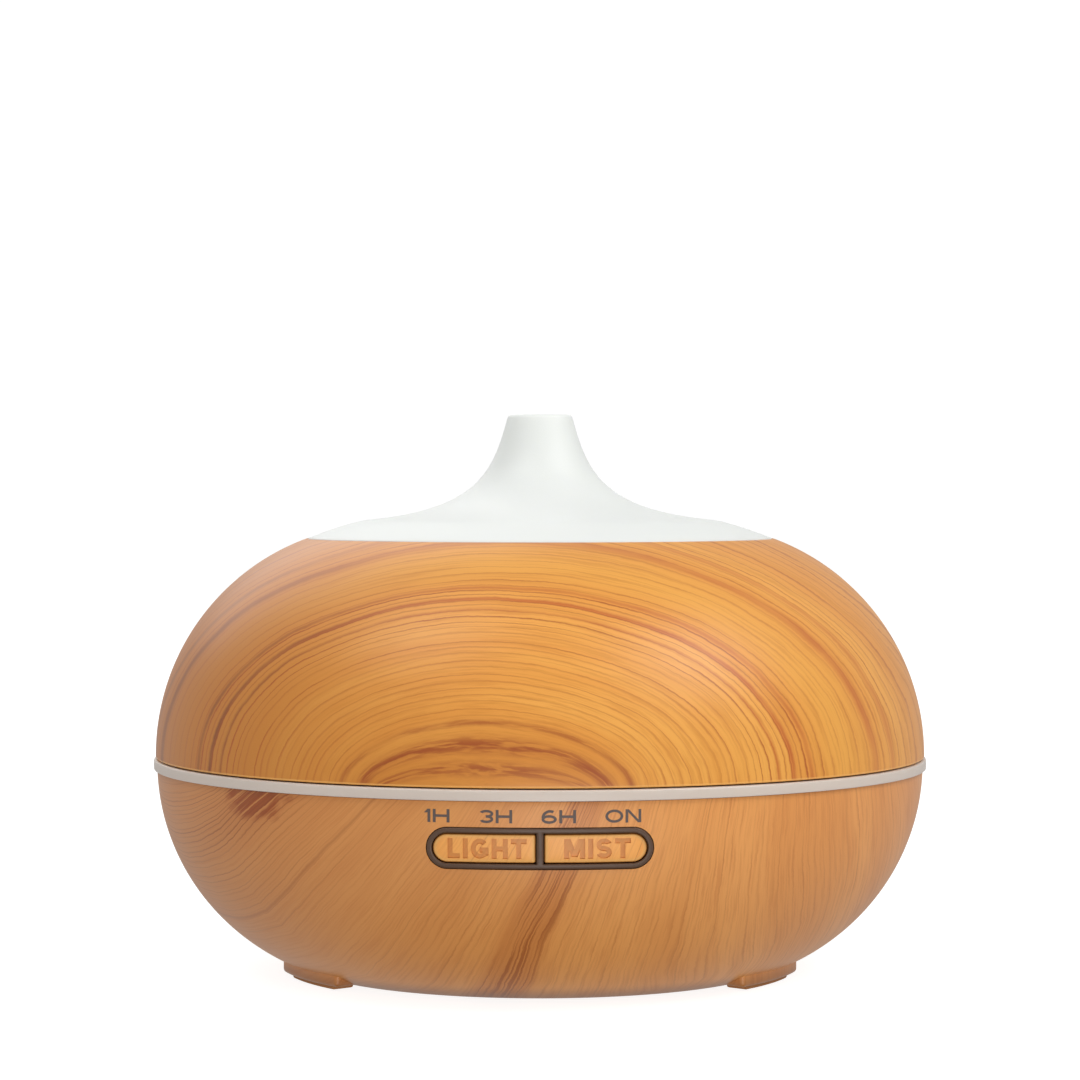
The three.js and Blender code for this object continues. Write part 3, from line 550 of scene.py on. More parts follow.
def knot_flow(m, from_x, from_z, front):
    """Where the grain bunches: a tongue from the knot, down and to the left."""
    downstream = m.times(m.plus(m.times(from_x, 0.8), from_z, 0.6), -1.0)
    aside = m.subtract(m.times(from_x, 0.6), m.times(from_z, 0.8))
    flow = m.times(m.step(m.math("ABSOLUTE", aside), 9.0, 0.0), m.step(downstream, 24.0, -2.0))
    return m.times(flow, m.step(downstream, -16.0, -4.0), front)


def knot_heart(m, from_x, from_z, where):
    """The knot itself, an oval with an uneven edge."""
    uneven = m.plus(from_x, m.subtract(m.noise(where, 0.25, 2.0), 0.5), 9.0)
    out = m.hypot(m.times(m.add(uneven, 0.5), 1 / KNOT_HALF_X), m.times(from_z, 1 / KNOT_HALF_Z))
    return m.step(out, 1.1, 0.6)


def slanted_weight(m, field, broken, x, z, front, flow):
    """How dark the base's growth lines are: faint, but stronger at the far left and round the knot."""
    weight = m.plus(0.1, m.step(m.noise_line(field, 0.4), 0.45, 0.65), 0.22)
    weight = m.times(weight, m.plus(0.4, broken, 0.6))
    high = m.step(z, RING_MID - 34.0, RING_MID - 18.0)
    far_left = m.times(m.step(x, -38.0, -60.0), high, front)
    stronger = m.times(far_left, m.step(m.noise_line(field, 0.7), 0.4, 0.6))
    weight = m.plus(weight, stronger, 0.42)
    return m.math("MINIMUM", m.plus(weight, flow, 0.9), 0.9)


def lower_wood():
    """Satin plastic printed with slanted pine grain, a knot at the left and a streak in the middle."""
    m = Material("wood_print_lower", **SATIN)
    where = m.millimetres()
    x, y, z = m.split(where)
    front = m.step(y, 30.0, -20.0)
    from_x, from_z = m.subtract(x, KNOT_X), m.subtract(z, KNOT_Z)
    flow = knot_flow(m, from_x, from_z, front)
    field, along = slanted_field(m, x, y, z, where)
    field = m.plus(field, flow, 3.0)
    lines = growth_lines(m, m.times(field, 1 / SLANT_SPACING), m.noise_line(field, 0.5))
    fibres = strands(m, field, along, y, 3.0, 0.1)
    broken = m.step(strands(m, field, along, y, 0.7, 0.1), 0.25, 0.62)
    patches = strands(m, field, along, y, 0.1, 0.012)
    streak = m.times(m.step(m.bump_at(field, STREAK_AT, 6.0), 0.1, 0.5), front)
    broken_streak = m.times(streak, m.step(strands(m, field, along, y, 2.2, 0.02), 0.48, 0.6))
    veins = m.step(strands(m, field, along, y, 1.3, 0.04), 0.4, 0.5)
    heart = m.times(knot_heart(m, from_x, from_z, where), front, veins)
    ground = m.mix(m.step(patches, 0.36, 0.64), srgb(236, 162, 88), srgb(226, 150, 78))
    dark = srgb(156, 84, 34)
    colour = m.paint(
        ground,
        # darker towards the left: partly the print's own tone, partly painted shade on the side away from the
        # key light
        (srgb(204, 134, 72), left_tone_and_shade(m, x, y, 30.0), 0.85),
        (srgb(202, 126, 62), m.step(fibres, 0.42, 0.72), 0.5),
        (srgb(170, 94, 42), flow, 0.35),
        (dark, lines, slanted_weight(m, field, broken, x, z, front, flow)),
        (srgb(186, 106, 48), streak, 0.4),
        (srgb(146, 72, 26), broken_streak, 0.6),
        (dark, m.times(m.bump_at(field, FINE_STREAK_AT, 0.7), front), 0.4),
        (m.mix(fibres, srgb(118, 46, 4), srgb(178, 88, 26)), heart, 0.9),
        # painted shade: the print darkens towards the underside, standing for the shadow near the floor
        (srgb(104, 50, 14), m.step(z, SHADED_BELOW, UNDERSIDE), 0.6),
    )
    return grain_finish(m, where, colour, fibres, lines)


def button_wood():
    """The print on the buttons: warmer, with a painted highlight along the moulded edges and painted shade in
    the sunk letters.
    """
    m = Material("wood_print_button", **SATIN)
    where = m.millimetres()
    x, y, z = m.split(where)
    field, along = slanted_field(m, x, y, z, where)
    lines = growth_lines(m, m.times(field, 1 / SLANT_SPACING), m.noise_line(field, 0.5))
    fibres = strands(m, field, along, y, 3.0, 0.1)
    streaks = m.plus(0.12, m.step(m.noise_line(field, 0.6), 0.55, 0.7), 0.4)
    from_axis = m.subtract(m.hypot(x, y), LOWER_ARC[0])
    proud = m.subtract(m.hypot(from_axis, m.subtract(z, LOWER_ARC[1])), LOWER_ARC[2])
    colour = m.paint(
        srgb(252, 174, 86),
        (srgb(232, 148, 70), m.step(fibres, 0.4, 0.7), 0.4),
        (srgb(170, 92, 40), lines, streaks),
        # painted highlight along the button's rounded edges
        (srgb(255, 206, 130), m.bump_at(proud, -0.2, 0.14), 0.6),
        # painted shade on the floors of the sunk letters
        (srgb(196, 122, 56), m.step(proud, -0.27, -0.33), 0.6),
    )
    return grain_finish(m, where, colour, fibres, lines)


# ---------------- other materials
def moulded(name, colour, roughness, grain_mm=0.5, relief_mm=0.02, variation=0.06, **sockets):
    """Moulded plastic or rubber with a fine spark-eroded grain and a slight unevenness of colour."""
    m = Material(name, Roughness=roughness, **sockets)
    where = m.millimetres()
    cloud = m.noise(where, 0.05, 3.0)
    darker = tuple(c * (1 - 2 * variation) for c in colour)
    m.set(Base_Color=m.mix(cloud, darker, colour))
    grain = m.noise(where, 1 / grain_mm, 2.0)
    m.set(Roughness=m.plus(roughness - 0.05, grain, 0.1))
    return m.bump(grain, relief_mm, 0.5).material


def metal(name, colour, roughness):
    """Plated or bare metal with fine scratches."""
    scratch = 12.0
    m = Material(name, Metallic=1.0, Roughness=roughness)
    where = m.millimetres()
    x, y, z = m.split(where)
    scratches = m.noise(m.join(m.times(x, scratch), m.times(y, 0.6), m.times(z, scratch)), 0.6, 2.0)
    darker = tuple(c * 0.8 for c in colour)
    m.set(Base_Color=m.mix(m.noise(where, 0.4, 2.0), darker, colour))
    m.set(Roughness=m.plus(roughness - 0.06, scratches, 0.12))
    return m.bump(scratches, 0.01, 0.3).material


def board_material():
    """Green solder resist with darker tracks under it."""
    m = Material("circuit_board", Roughness=0.35, Coat_Weight=0.3, Coat_Roughness=0.2)
    x, y, _ = m.split(m.millimetres())
    wander = m.times(m.noise(m.millimetres(), 0.25, 0.0), 2.4)
    stripes = m.math("FRACT", m.times(m.add(m.add(x, y), wander), 0.4))
    tracks = m.times(m.step(stripes, 0.3, 0.36), m.step(stripes, 0.72, 0.66))
    m.set(Base_Color=m.mix(tracks, srgb(18, 84, 44), srgb(30, 112, 58)))
    return m.bump(tracks, 0.03, 0.5).material


def winding(name, colour):
    """Lacquered copper wire wound in turns, with painted shade in the grooves between the turns."""
    m = Material(name, Metallic=1.0, Roughness=0.3)
    _, _, z = m.split(m.millimetres())
    turn = m.math("ABSOLUTE", m.subtract(m.math("FRACT", m.times(z, 2.2)), 0.5))
    # painted shade: the colour darkens into the groove between turns
    m.set(Base_Color=m.mix(m.times(turn, 2.0), tuple(c * 0.45 for c in colour), colour))
    return m.bump(turn, 0.15, 0.8).material


WOOD_UPPER = upper_wood()
WOOD_LOWER = lower_wood()
WOOD_BUTTON = button_wood()
GLOW_THROUGH = {"Subsurface_Radius": (0.004, 0.004, 0.0035), "Subsurface_Scale": 1.0}
WHITE_CAP = moulded("cap_white", srgb(238, 241, 237), 0.46, 0.45, 0.025, 0.01, Subsurface_Weight=0.25,
                    **GLOW_THROUGH)
TANK_WHITE = moulded("tank_white", srgb(240, 240, 235), 0.3, 0.8, 0.01, 0.01, Subsurface_Weight=0.2,
                     **GLOW_THROUGH)
RING_MILK = moulded("ring_milk", srgb(216, 202, 190), 0.34, 1.2, 0.03, 0.03,
                    Subsurface_Weight=0.3, Subsurface_Radius=(0.003, 0.0027, 0.0024), Subsurface_Scale=1.0)
BEZEL_BROWN = moulded("bezel_brown", srgb(92, 66, 48), 0.42, 0.35, 0.02, 0.08)
LEGEND_INK = moulded("legend_ink", srgb(98, 84, 78), 0.6, 0.4, 0.01, 0.05)
DARK_PLASTIC = moulded("dark_plastic", srgb(38, 38, 40), 0.5, 0.4, 0.03, 0.08)
PAD_RUBBER = moulded("pad_rubber", srgb(172, 114, 66), 0.85, 0.6, 0.06, 0.1)
SILICONE = moulded("white_silicone", srgb(225, 225, 220), 0.6, 0.6, 0.02, 0.03)
CABLE_SHEATH = moulded("cable_sheath", srgb(30, 30, 32), 0.55, 0.5, 0.02, 0.06)
BOARD_GREEN = board_material()
STEEL = metal("plated_steel", srgb(190, 192, 196), 0.3)
BRASS = metal("bearing_brass", srgb(200, 162, 84), 0.35)
ALUMINIUM = metal("heat_sink_aluminium", srgb(205, 207, 210), 0.4)
COPPER = winding("copper_winding", srgb(196, 112, 70))


# ---------------- outer cover
def outer_cover():
    centre_r, centre_z, radius = UPPER_ARC
    seam_z = centre_z + sqrt(radius ** 2 - (SEAM_R - centre_r) ** 2)
    rib_r, rib_top, rib_low = 77.5, 49.8, 48.2
    edge_in = 81.4
    outside = arc_points(UPPER_ARC, 0, COVER_BOTTOM, seam_z, 56)
    inside = arc_points(UPPER_ARC, WALL, LEDGE_TOP - LEDGE_THICK, rib_top, 30)
    outline = fillet([
        (*outside[0], 0.35), *outside[1:-1], (*outside[-1], 0.25),
        (SEAM_R, LEDGE_TOP), (LEDGE_R, LEDGE_TOP, 0.3), (LEDGE_R, LEDGE_TOP - LEDGE_THICK, 0.3),
        *inside, (rib_r, rib_top, 0.4), (rib_r, rib_low, 0.4), (edge_in, rib_low),
        (edge_in, COVER_BOTTOM, 0.35),
    ])
    obj = smooth(turned("cover_shell", outline, FINE_SIDES))
    return piece(obj, "cover", WOOD_UPPER, ["upper_shell"])


def nozzle_cap():
    edge_r = SEAM_R - 0.25
    nozzle_r, bore_r = 6.95, 4.9
    skirt_out, skirt_in, skirt_low = LEDGE_R - 0.3, LEDGE_R - 1.9, 88.8
    bead_r, bead_top = LEDGE_R + 0.5, LEDGE_TOP - LEDGE_THICK - 0.2
    knee = (37.57, 97.6)
    flare = bezier_points([(edge_r, 93.65), (45.8, 95.5), (40.4, 97.35), knee], 14)
    neck = bezier_points([knee, (13.12, 99.95), (10.19, 108.3), (nozzle_r, CAP_TOP)], 44)
    funnel = bezier_points([(bore_r, 117.5), (7.6, 107.6), (11.4, 97.9), (36.6, 95.4)], 24)
    outline = fillet([
        (*flare[0], 0.3), *flare[1:], *neck[1:-1], (*neck[-1], 0.9), (bore_r, CAP_TOP, 0.7),
        *funnel, (skirt_in, 93.2, 0.8), (skirt_in, skirt_low, 0.4), (skirt_out, skirt_low, 0.3),
        (bead_r, skirt_low + 0.6, 0.2), (bead_r, bead_top - 0.3), (skirt_out, bead_top),
        (skirt_out, LEDGE_TOP + 0.2), (edge_r, LEDGE_TOP + 0.2, 0.2),
    ])
    obj = smooth(turned("mist_cap", outline))
    return piece(obj, "cover", WHITE_CAP, ["nozzle_cap"])


# ---------------- base
def cylinder(radius, low, high, x=0.0, y=0.0, sides=48, place=None):
    """A plain cylinder along Z, or along another line, used to join or cut."""
    return prism("tool", circle(radius, sides), low, high, place or Matrix.Translation((x, y, 0)))


def rod(radius, low, high, z, sides=48):
    """A plain cylinder along Y, used to join or cut."""
    return cylinder(radius, low, high, sides=sides, place=along_y(0, 0, z))


FRONT = Matrix.Rotation(pi / 2, 4, "X")  # an outline drawn as (x, z), raised towards -Y


def sector(radius_in, radius_out, angle, half_angle, steps=24):
    """A ring sector as a flat outline, at an angle from the front."""
    outer = [around(radius_out, angle - half_angle + 2 * half_angle * k / steps) for k in range(steps + 1)]
    inner = [around(radius_in, angle + half_angle - 2 * half_angle * k / steps) for k in range(steps + 1)]
    return outer + inner


def pill_outline(half_x, half_z, steps=24):
    """A bar with half-round ends, as (x, z) points about the middle of the panel."""
    half_round = arc(half_x - half_z, 0, half_z, -pi / 2, pi, steps)
    return [(side * x, PANEL_Z + side * z) for side in (1, -1) for x, z in half_round]


def base_hollow():
    """The room inside the lower shell, less the inlet's boss and the screw posts."""
    floor, above = 5.6, SHELL_TOP + 1
    inside = arc_points(LOWER_ARC, WALL, floor, SHELL_TOP, 30)
    outline = [(0, floor), *inside, (inside[-1][0], above), (0, above)]
    hollow = turned("hollow", outline, INNER_SIDES)
    inlet_boss = rod(9, 66.6, 92, JACK_Z)
    posts = [cylinder(4, 2.5, 14.2, *around(POST_R, a)) for a in FOOT_ANGLES]
    return cut(hollow, [inlet_boss, *posts])


def base_openings():
    """The rooms cut from the lower shell: plate seat, pad recesses, screw holes, inlet and panel."""
    panel = pill_outline(PANEL_HALF_X + KEY_GAP, PANEL_HALF_Z + KEY_GAP)
    recess_half, recess_top, recess_half_angle = PAD_HALF + 0.3, PAD_TOP + 0.1, PAD_HALF_ANGLE + 0.3
    return [
        cylinder(PLATE_R + 0.3, -1, PLATE_TOP + 0.2, sides=128),
        cylinder(38, -1, 7, sides=96),
        *[prism("recess", sector(POST_R - recess_half, POST_R + recess_half, a, recess_half_angle),
                -1, recess_top) for a in FOOT_ANGLES],
        *[cylinder(1.7, 0, 16, *around(POST_R, a), sides=24) for a in FOOT_ANGLES],
        rod(6.8, JACK_FACE, 92, JACK_Z, 64),
        rod(5.2, 60, 70, JACK_Z, 64),
        prism("panel_hole", panel, 66, 95, FRONT),
    ]


def base_shell():
    bottom_r = arc_radius(LOWER_ARC, UNDERSIDE)
    outside = arc_points(LOWER_ARC, 0, UNDERSIDE, SHELL_TOP, 56)
    outline = fillet([(0, UNDERSIDE), (bottom_r - 0.02, UNDERSIDE), *outside[1:-1], (*outside[-1], 0.1),
                      (0, SHELL_TOP)])
    shell = turned("base_shell", outline, FINE_SIDES)
    cut(shell, [base_hollow()])
    blocks = [prism("foot", sector(FOOT_IN, FOOT_OUT, a, FOOT_HALF_ANGLE), FOOT_LOW, FOOT_TOP)
              for a in FOOT_ANGLES]
    combine(shell, [bevelled(block, FOOT_ROUNDING, 4) for block in blocks], "UNION")
    cut(shell, base_openings())
    smooth(shell, 32)
    return piece(shell, "base", WOOD_LOWER, ["lower_shell"])


def foot_pads():
    for i, angle in enumerate(FOOT_ANGLES):
        outline = sector(POST_R - PAD_HALF, POST_R + PAD_HALF, angle, PAD_HALF_ANGLE)
        pad = bevelled(prism(f"rubber_pad_{i + 1}", outline, 0, PAD_TOP), 0.5)
        piece(smooth(pad), "base", PAD_RUBBER, [f"foot_pad_{i + 1}"])


def light_ring():
    ring_in = 76
    lip_out, lip_in, lip_low = 80.6, 78.7, 41.5
    outline = fillet([
        (ring_in, RING_BOTTOM), (ring_in, RING_TOP, 0.3), (RING_R, RING_TOP, 0.45),
        (RING_R, RING_BOTTOM, 0.2),
        (lip_out, RING_BOTTOM), (lip_out, lip_low, 0.3), (lip_in, lip_low, 0.3), (lip_in, RING_BOTTOM),
    ], 5)
    obj = smooth(turned("glow_ring", outline, FINE_SIDES))
    return piece(obj, "base", RING_MILK, ["light_ring"])


# ---------------- control panel
def on_front(x, z, proud):
    """The point of the lower shell's outside at that x and z, moved out by proud."""
    radius = arc_radius(LOWER_ARC, z, proud)
    return Vector((x, -sqrt(radius * radius - x * x), z))


def swept(bm, loops, closed_section=True):
    """Faces between loops of points. Each loop is closed, and the loops close on each other if asked."""
    rows = [[bm.verts.new(p) for p in loop] for loop in loops]
    pairs = list(zip(rows, rows[1:]))
    if closed_section:
        pairs.append((rows[-1], rows[0]))
    for row, following in pairs:
        for k in range(len(row)):
            j = (k + 1) % len(row)
            bm.faces.new((row[k], row[j], following[j], following[k]))
    return rows


def pill_loop(inset):
    """Points round the panel's outline, set in, close enough together to follow the curved front."""
    radius = PANEL_HALF_Z - inset
    straight = PANEL_HALF_X - PANEL_HALF_Z
    half = arc(straight, 0, radius, -pi / 2, pi, 24)[:-1]
    half += [(straight * (1 - 2 * k / 32), radius) for k in range(32)]
    return [(side * x, PANEL_Z + side * z) for side in (1, -1) for x, z in half]


def control_bezel():
    section = [(0, -2.4), (0, 0.02), (0.06, 0.17), (0.17, 0.27), (0.32, 0.3), (0.73, 0.3), (0.88, 0.27),
               (0.99, 0.17), (PANEL_FRAME, 0.0), (PANEL_FRAME, -3.6), (0.55, -3.6), (0.55, -2.4)]
    bm = bmesh.new()
    swept(bm, [[on_front(x, z, proud) for x, z in pill_loop(inset)] for inset, proud in section])
    frame_ring = from_bmesh("control_frame", bm)
    half = PANEL_DIVIDER / 2
    across = [(-half, -3.5), (-half, 0.0), (-half + 0.07, 0.16), (-half + 0.2, 0.26), (0, 0.285),
              (half - 0.2, 0.26), (half - 0.07, 0.16), (half, 0.0), (half, -3.5)]
    ends = [PANEL_Z + s * (PANEL_HALF_Z - 0.6) for s in (-1, -0.5, 0, 0.5, 1)]
    bm = bmesh.new()
    rows = swept(bm, [[on_front(x, z, proud) for x, proud in across] for z in ends], closed_section=False)
    bm.faces.new(rows[0])
    bm.faces.new(rows[-1][::-1])
    divider = from_bmesh("divider", bm)
    combine(frame_ring, [divider], "UNION")
    return piece(smooth(frame_ring, 50), "base", BEZEL_BROWN, ["control_bezel"])


def button_loop(side, inset):
    """Points round one button, set in: from its round end over the top to its flat end and back below."""
    radius = PANEL_HALF_Z - PANEL_FRAME - KEY_GAP - inset
    centre = PANEL_HALF_X - PANEL_HALF_Z
    flat = PANEL_DIVIDER / 2 + KEY_GAP + inset
    corner = max(0.45 - inset, 0.03)
    half = arc(centre, 0, radius, 0, pi / 2, 16)
    half += [(centre + (flat + corner - centre) * k / 28, radius) for k in range(1, 28)]
    half += arc(flat + corner, radius - corner, corner, pi / 2, pi / 2, 6)
    half += [(flat, (radius - corner) * (1 - k / 3)) for k in range(1, 4)]
    lower = [(x, -z) for x, z in half[-2:0:-1]]
    return [(side * x, PANEL_Z + z) for x, z in half + lower]


def bar(x0, y0, x1, y1):
    """An upright rectangle of a letter."""
    return [(x0, y0), (x1, y0), (x1, y1), (x0, y1)]


def slash(x0, x1, width, y0=0.0, y1=1.0):
    """A slanted stroke of a letter, from x0 at the bottom to x1 at the top."""
    return [(x0, y0), (x0 + width, y0), (x1 + width, y1), (x1, y1)]


def bow(middle, radii, start, end, stroke):
    """A bent stroke of a letter: part of an oval ring, from one angle to another."""
    unit = arc(0, 0, 1, radians(start), radians(end - start), 16)
    outer, inner = ([(middle[0] + (radii[0] - inset) * u, middle[1] + (radii[1] - inset) * v)
                     for u, v in unit] for inset in (0, stroke))
    return outer + inner[::-1]


def glyph(letter, width, stroke):
    """The strokes of a plain block letter, one unit high."""
    half, high = width / 2, (1 + stroke) / 4
    oval = (half, 0.5)
    upper, lower = (half, 1 - high), (half, high)
    slant = stroke * 1.2
    stem, far_stem = bar(0, 0, stroke, 1), bar(width - stroke, 0, width, 1)
    foot, ring = half - stroke * 0.6, (half, high * 1.1)
    strokes = {
        "L": [stem, bar(0, 0, width, stroke)],
        "I": [bar(0, 0, width, 1)],
        "T": [bar(0, 1 - stroke, width, 1), bar(half - stroke / 2, 0, half + stroke / 2, 1)],
        "H": [stem, far_stem, bar(0, 0.5 - stroke / 2, width, 0.5 + stroke / 2)],
        "M": [stem, far_stem, slash(foot, 0.02, slant, 0.1), slash(foot, width - slant - 0.02, slant, 0.1)],
        "N": [stem, far_stem, slash(width - slant, 0, slant)],
        "O": [bow(oval, oval, -5, 185, stroke), bow(oval, oval, 175, 365, stroke)],
        "G": [bow(oval, oval, 42, 200, stroke), bow(oval, oval, 190, 340, stroke),
              bar(half, 0.56 - stroke, width, 0.56), bar(width - stroke, 0.16, width, 0.56)],
        "S": [bow(upper, (half, high), 20, 275, stroke), bow(lower, (half, high), -160, 95, stroke)],
        "1": [far_stem, slash(0, width - stroke, stroke * 1.1, 0.72, 1.0)],
        "3": [bow(upper, (half, high), -95, 155, stroke), bow(lower, (half, high), -155, 95, stroke)],
        "6": [bow(lower, ring, -5, 185, stroke), bow(lower, ring, 175, 365, stroke),
              bow((half * 1.12, 0.42), (half * 1.12, 0.58), 62, 182, stroke)],
    }
    return strokes[letter]


def lettering(name, words, middle, width, height, low, high, stroke, widths):
    """Plain block letters that follow the curved front, filling a width and height about (x, z)."""
    gap = 0.16
    reach = sum(widths) + gap * (len(words) - 1)
    scale = width / reach
    x = 0.0
    strokes = []
    for letter, wide in zip(words, widths):
        for outline in glyph(letter, wide, stroke):
            strokes.append(prism("stroke", [(x + u, v) for u, v in outline], 0, 1))
        x += wide + gap
    flat = combine(strokes[0], strokes[1:], "UNION")
    bm = bmesh.new()
    bm.from_mesh(flat.data)
    bpy.data.objects.remove(flat)
    for v in bm.verts:
        u, rise, depth = v.co / MM
        across = middle[0] + u * scale - width / 2
        v.co = on_front(across, middle[1] + (rise - 0.5) * height, low + depth * (high - low))
    return from_bmesh(name, bm)


def panel_button(side, name, words, letters_x, letters_width, widths):
    """A button with its word sunk into the face. Side is -1 for the left one."""
    letters_height, sunk_to, tool_top, stroke = 4.0, -0.36, 0.6, 0.25
    section = [(1.6, -5.0), (0, -5.0), (0, -0.85), (0.05, -0.55), (0.16, -0.34), (0.34, -0.2), (0.6, -0.12),
               (1.0, -0.08), (1.6, -0.06), (2.3, -0.05)]
    bm = bmesh.new()
    loops = [[on_front(x, z, proud) for x, z in button_loop(side, inset)] for inset, proud in section]
    rows = swept(bm, loops, closed_section=False)
    for row in (rows[0], rows[-1]):
        count = len(row)
        for k in range(count // 2):
            corners = [row[k], row[k + 1], row[(count - k - 1) % count], row[(count - k) % count]]
            bm.faces.new(list(dict.fromkeys(corners)))
    button = from_bmesh(name, bm)
    sunk = lettering("letters", words, (letters_x, PANEL_Z), letters_width, letters_height,
                     sunk_to, tool_top, stroke, widths)
    cut(button, [sunk])
    body = name.replace("_key", "_button")
    return piece(smooth(button, 40), body, WOOD_BUTTON, [body])


def legends():
    """The four printed marks above the buttons."""
    middle_z, height, stroke = 40.9, 2.6, 0.19
    ink_low, ink_high = -0.05, 0.04
    marks = (                                 # mark, middle, width, relative width of each letter
        ("1H", -20.1, 5.0, (0.42, 1.1)), ("3H", -8.6, 6.4, (0.95, 1.1)),
        ("6H", 3.65, 6.7, (1.0, 1.1)), ("ON", 16.2, 7.0, (1.25, 1.1)),
    )
    for words, x, width, widths in marks:
        ink = lettering(f"legend_{words}", words, (x, middle_z), width, height,
                        ink_low, ink_high, stroke, widths)
        piece(ink, "base", LEGEND_INK)


# ---------------- tank
def water_tank():
    outer_r = TANK_R + TANK_WALL
    floor, underside = 25.0, 22.8
    flange_r, flange_low, flange_top = 80.6, 46.3, 48.0
    collar_out, collar_in, collar_low = 14.8, 12.4, 18.8
    sump_r = 9.0
    bowl = bezier_points([(44, floor), (62, floor), (67, 44)], 22)
    hull = bezier_points([(69.2, 43.6), (64.2, underside), (44.5, underside)], 22)
    outline = fillet([
        (sump_r, floor, 0.8), *bowl, (TANK_R, 51), (TANK_R, 53.6), (TANK_R - 0.3, 53.8), (TANK_R - 0.3, 54.2),
        (TANK_R, 54.4), (TANK_R, TANK_TOP, 0.7), (outer_r, TANK_TOP, 0.7), (outer_r, flange_top, 0.8),
        (flange_r, flange_top, 0.4), (flange_r, flange_low, 0.4), (69.7, flange_low), *hull,
        (collar_out, underside), (collar_out, collar_low, 0.3), (collar_in, collar_low, 0.3),
        (collar_in, underside), (sump_r, underside),
    ])
    tank = turned("water_bowl", outline, INNER_SIDES)
    riser = rounded_box("riser", (-9.6, 41.4, underside + 0.8), (9.6, 52.6, 57), 1.4)
    bosses = [cylinder(3.6, 14.5, 24.6, *around(POST_R, a), sides=32) for a in FOOT_ANGLES]
    combine(tank, [riser, *bosses], "UNION")
    cut(tank, [rounded_box("duct", (-8, 43, 15), (8, 51, 66), 1.0)])
    return piece(smooth(tank, 35), "base", TANK_WHITE, ["water_tank"])


def air_outlet_hood():
    hood = rounded_box("riser_hood", (-11, 40, 50), (11, 54, 64), 1.6, 4)
    hollow = rounded_box("hollow", (-9.8, 41.2, 45), (9.8, 52.8, 62.8), 0.8)
    mouth = rounded_box("mouth", (-8, 36, 57.4), (8, 47, 62.6), 0.7)
    cut(hood, [hollow, mouth])
    return piece(smooth(hood, 35), "base", TANK_WHITE, ["air_outlet_hood"])


def inner_cover():
    chimney_r, thick, top = 8.8, 1.6, 98.0
    skirt_r = TANK_R - 0.4
    rim_r, rim_low = TANK_R + TANK_WALL + 1.2, TANK_TOP + 0.2
    below = bezier_points([(11, 80.4), (44, 77.2), (60, 69.5), (skirt_r - thick, 63.4)], 24)
    above = bezier_points([(69.2, 64.6), (61, 71.2), (45, 79), (12.4, 82.2)], 24)
    outline = fillet([
        (chimney_r + thick, top, 0.6), (chimney_r, top, 0.6), (chimney_r, 82.6, 1.5), *below,
        (skirt_r - thick, 58.5, 0.4), (skirt_r, 58.5, 0.4), (skirt_r, rim_low), (rim_r, rim_low, 0.4),
        (rim_r, rim_low + thick, 0.6), *above, (chimney_r + thick, 84.6),
    ])
    obj = smooth(turned("splash_cover", outline, INNER_SIDES))
    return piece(obj, "inner_cover", TANK_WHITE, ["inner_cover"])


# ---------------- underside, inlet and screws
def capsule(x, low, high, half):
    """A slot outline along Y with round ends."""
    ends = ((1, high - half), (-1, low + half))
    return [(x + side * u, end + side * v) for side, end in ends for u, v in arc(0, 0, half, 0, pi, 8)]


def bottom_plate():
    outline = fillet([(0, PLATE_LOW), (PLATE_R, PLATE_LOW, 0.5), (PLATE_R, PLATE_TOP, 0.3), (0, PLATE_TOP)])
    plate = turned("base_plate", outline, INNER_SIDES)
    grille_r, pitch, half = 17.4, 4.8, 1.2
    screw_circle, hole_r = 41, 1.3
    slots = []
    for i in range(-3, 4):
        reach = sqrt(grille_r ** 2 - (i * pitch) ** 2)
        slots.append(prism("slot", capsule(i * pitch, FAN_Y + 1, FAN_Y + reach, half), 0, 6))
        slots.append(prism("slot", capsule(i * pitch, FAN_Y - reach, FAN_Y - 1, half), 0, 6))
    holes = [cylinder(hole_r, 0, 6, *around(screw_circle, a), sides=24) for a in (45, 135, -135, -45)]
    cut(plate, slots + holes)
    plate = bevelled(plate, 0.25, 2, 50)
    return piece(evened(smooth(plate, 35)), "base", DARK_PLASTIC, ["bottom_plate"])


def screw_mesh(head_r, head_h, shank_r, length):
    """A pan-head screw with a cross recess: its seat is at z = 0, its head above and its tip below."""
    pitch = 0.8
    outline = [(0, head_h), (head_r * 0.55, head_h * 0.96), (head_r * 0.85, head_h * 0.72),
               (head_r, head_h * 0.3), (head_r, 0), (shank_r, 0)]
    turns = int((length - 1.2) / pitch)
    for i in range(turns):
        z = -0.4 - i * pitch
        outline += [(shank_r * 0.82, z), (shank_r, z - pitch * 0.45), (shank_r * 0.82, z - pitch * 0.9)]
    outline += [(0, -length)]
    screw = turned("screw", fillet(outline), 32)
    arm, width = head_r * 0.62, head_r * 0.2
    thin, above = width * 0.98, head_h + 1
    bars = [rounded_box("bar", (-arm, -width, head_h * 0.45), (arm, width, above), 0.06, 1),
            rounded_box("bar", (-thin, -arm, head_h * 0.46), (thin, arm, above), 0.06, 1)]
    return smooth(cut(screw, bars), 40)


def screws(kind, count, names, head_r, head_h, shank_r, seat, tip, along_front=False):
    """Detailed screws in the places of the plain CAD ones, from the seat's height to the tip's."""
    first = screw_mesh(head_r, head_h, shank_r, abs(tip - seat))
    for i in range(count):
        node = names.format(i + 1)
        low, high = cad_mm(node)
        mesh = first.data.copy()
        screw = new_object(f"{kind}_{i + 1}", mesh)
        middle = (low + high) / 2
        if along_front:
            matrix = along_y(middle.x, seat, middle.z)
        else:
            turn = Matrix.Rotation(0 if tip < seat else pi, 4, "X")
            spin = Matrix.Rotation(0.4 + 1.3 * i, 4, "Z")
            matrix = Matrix.Translation((middle.x, middle.y, seat)) @ spin @ turn
        place(screw, matrix)
        piece(screw, "base", STEEL, [node])
    bpy.data.objects.remove(first)


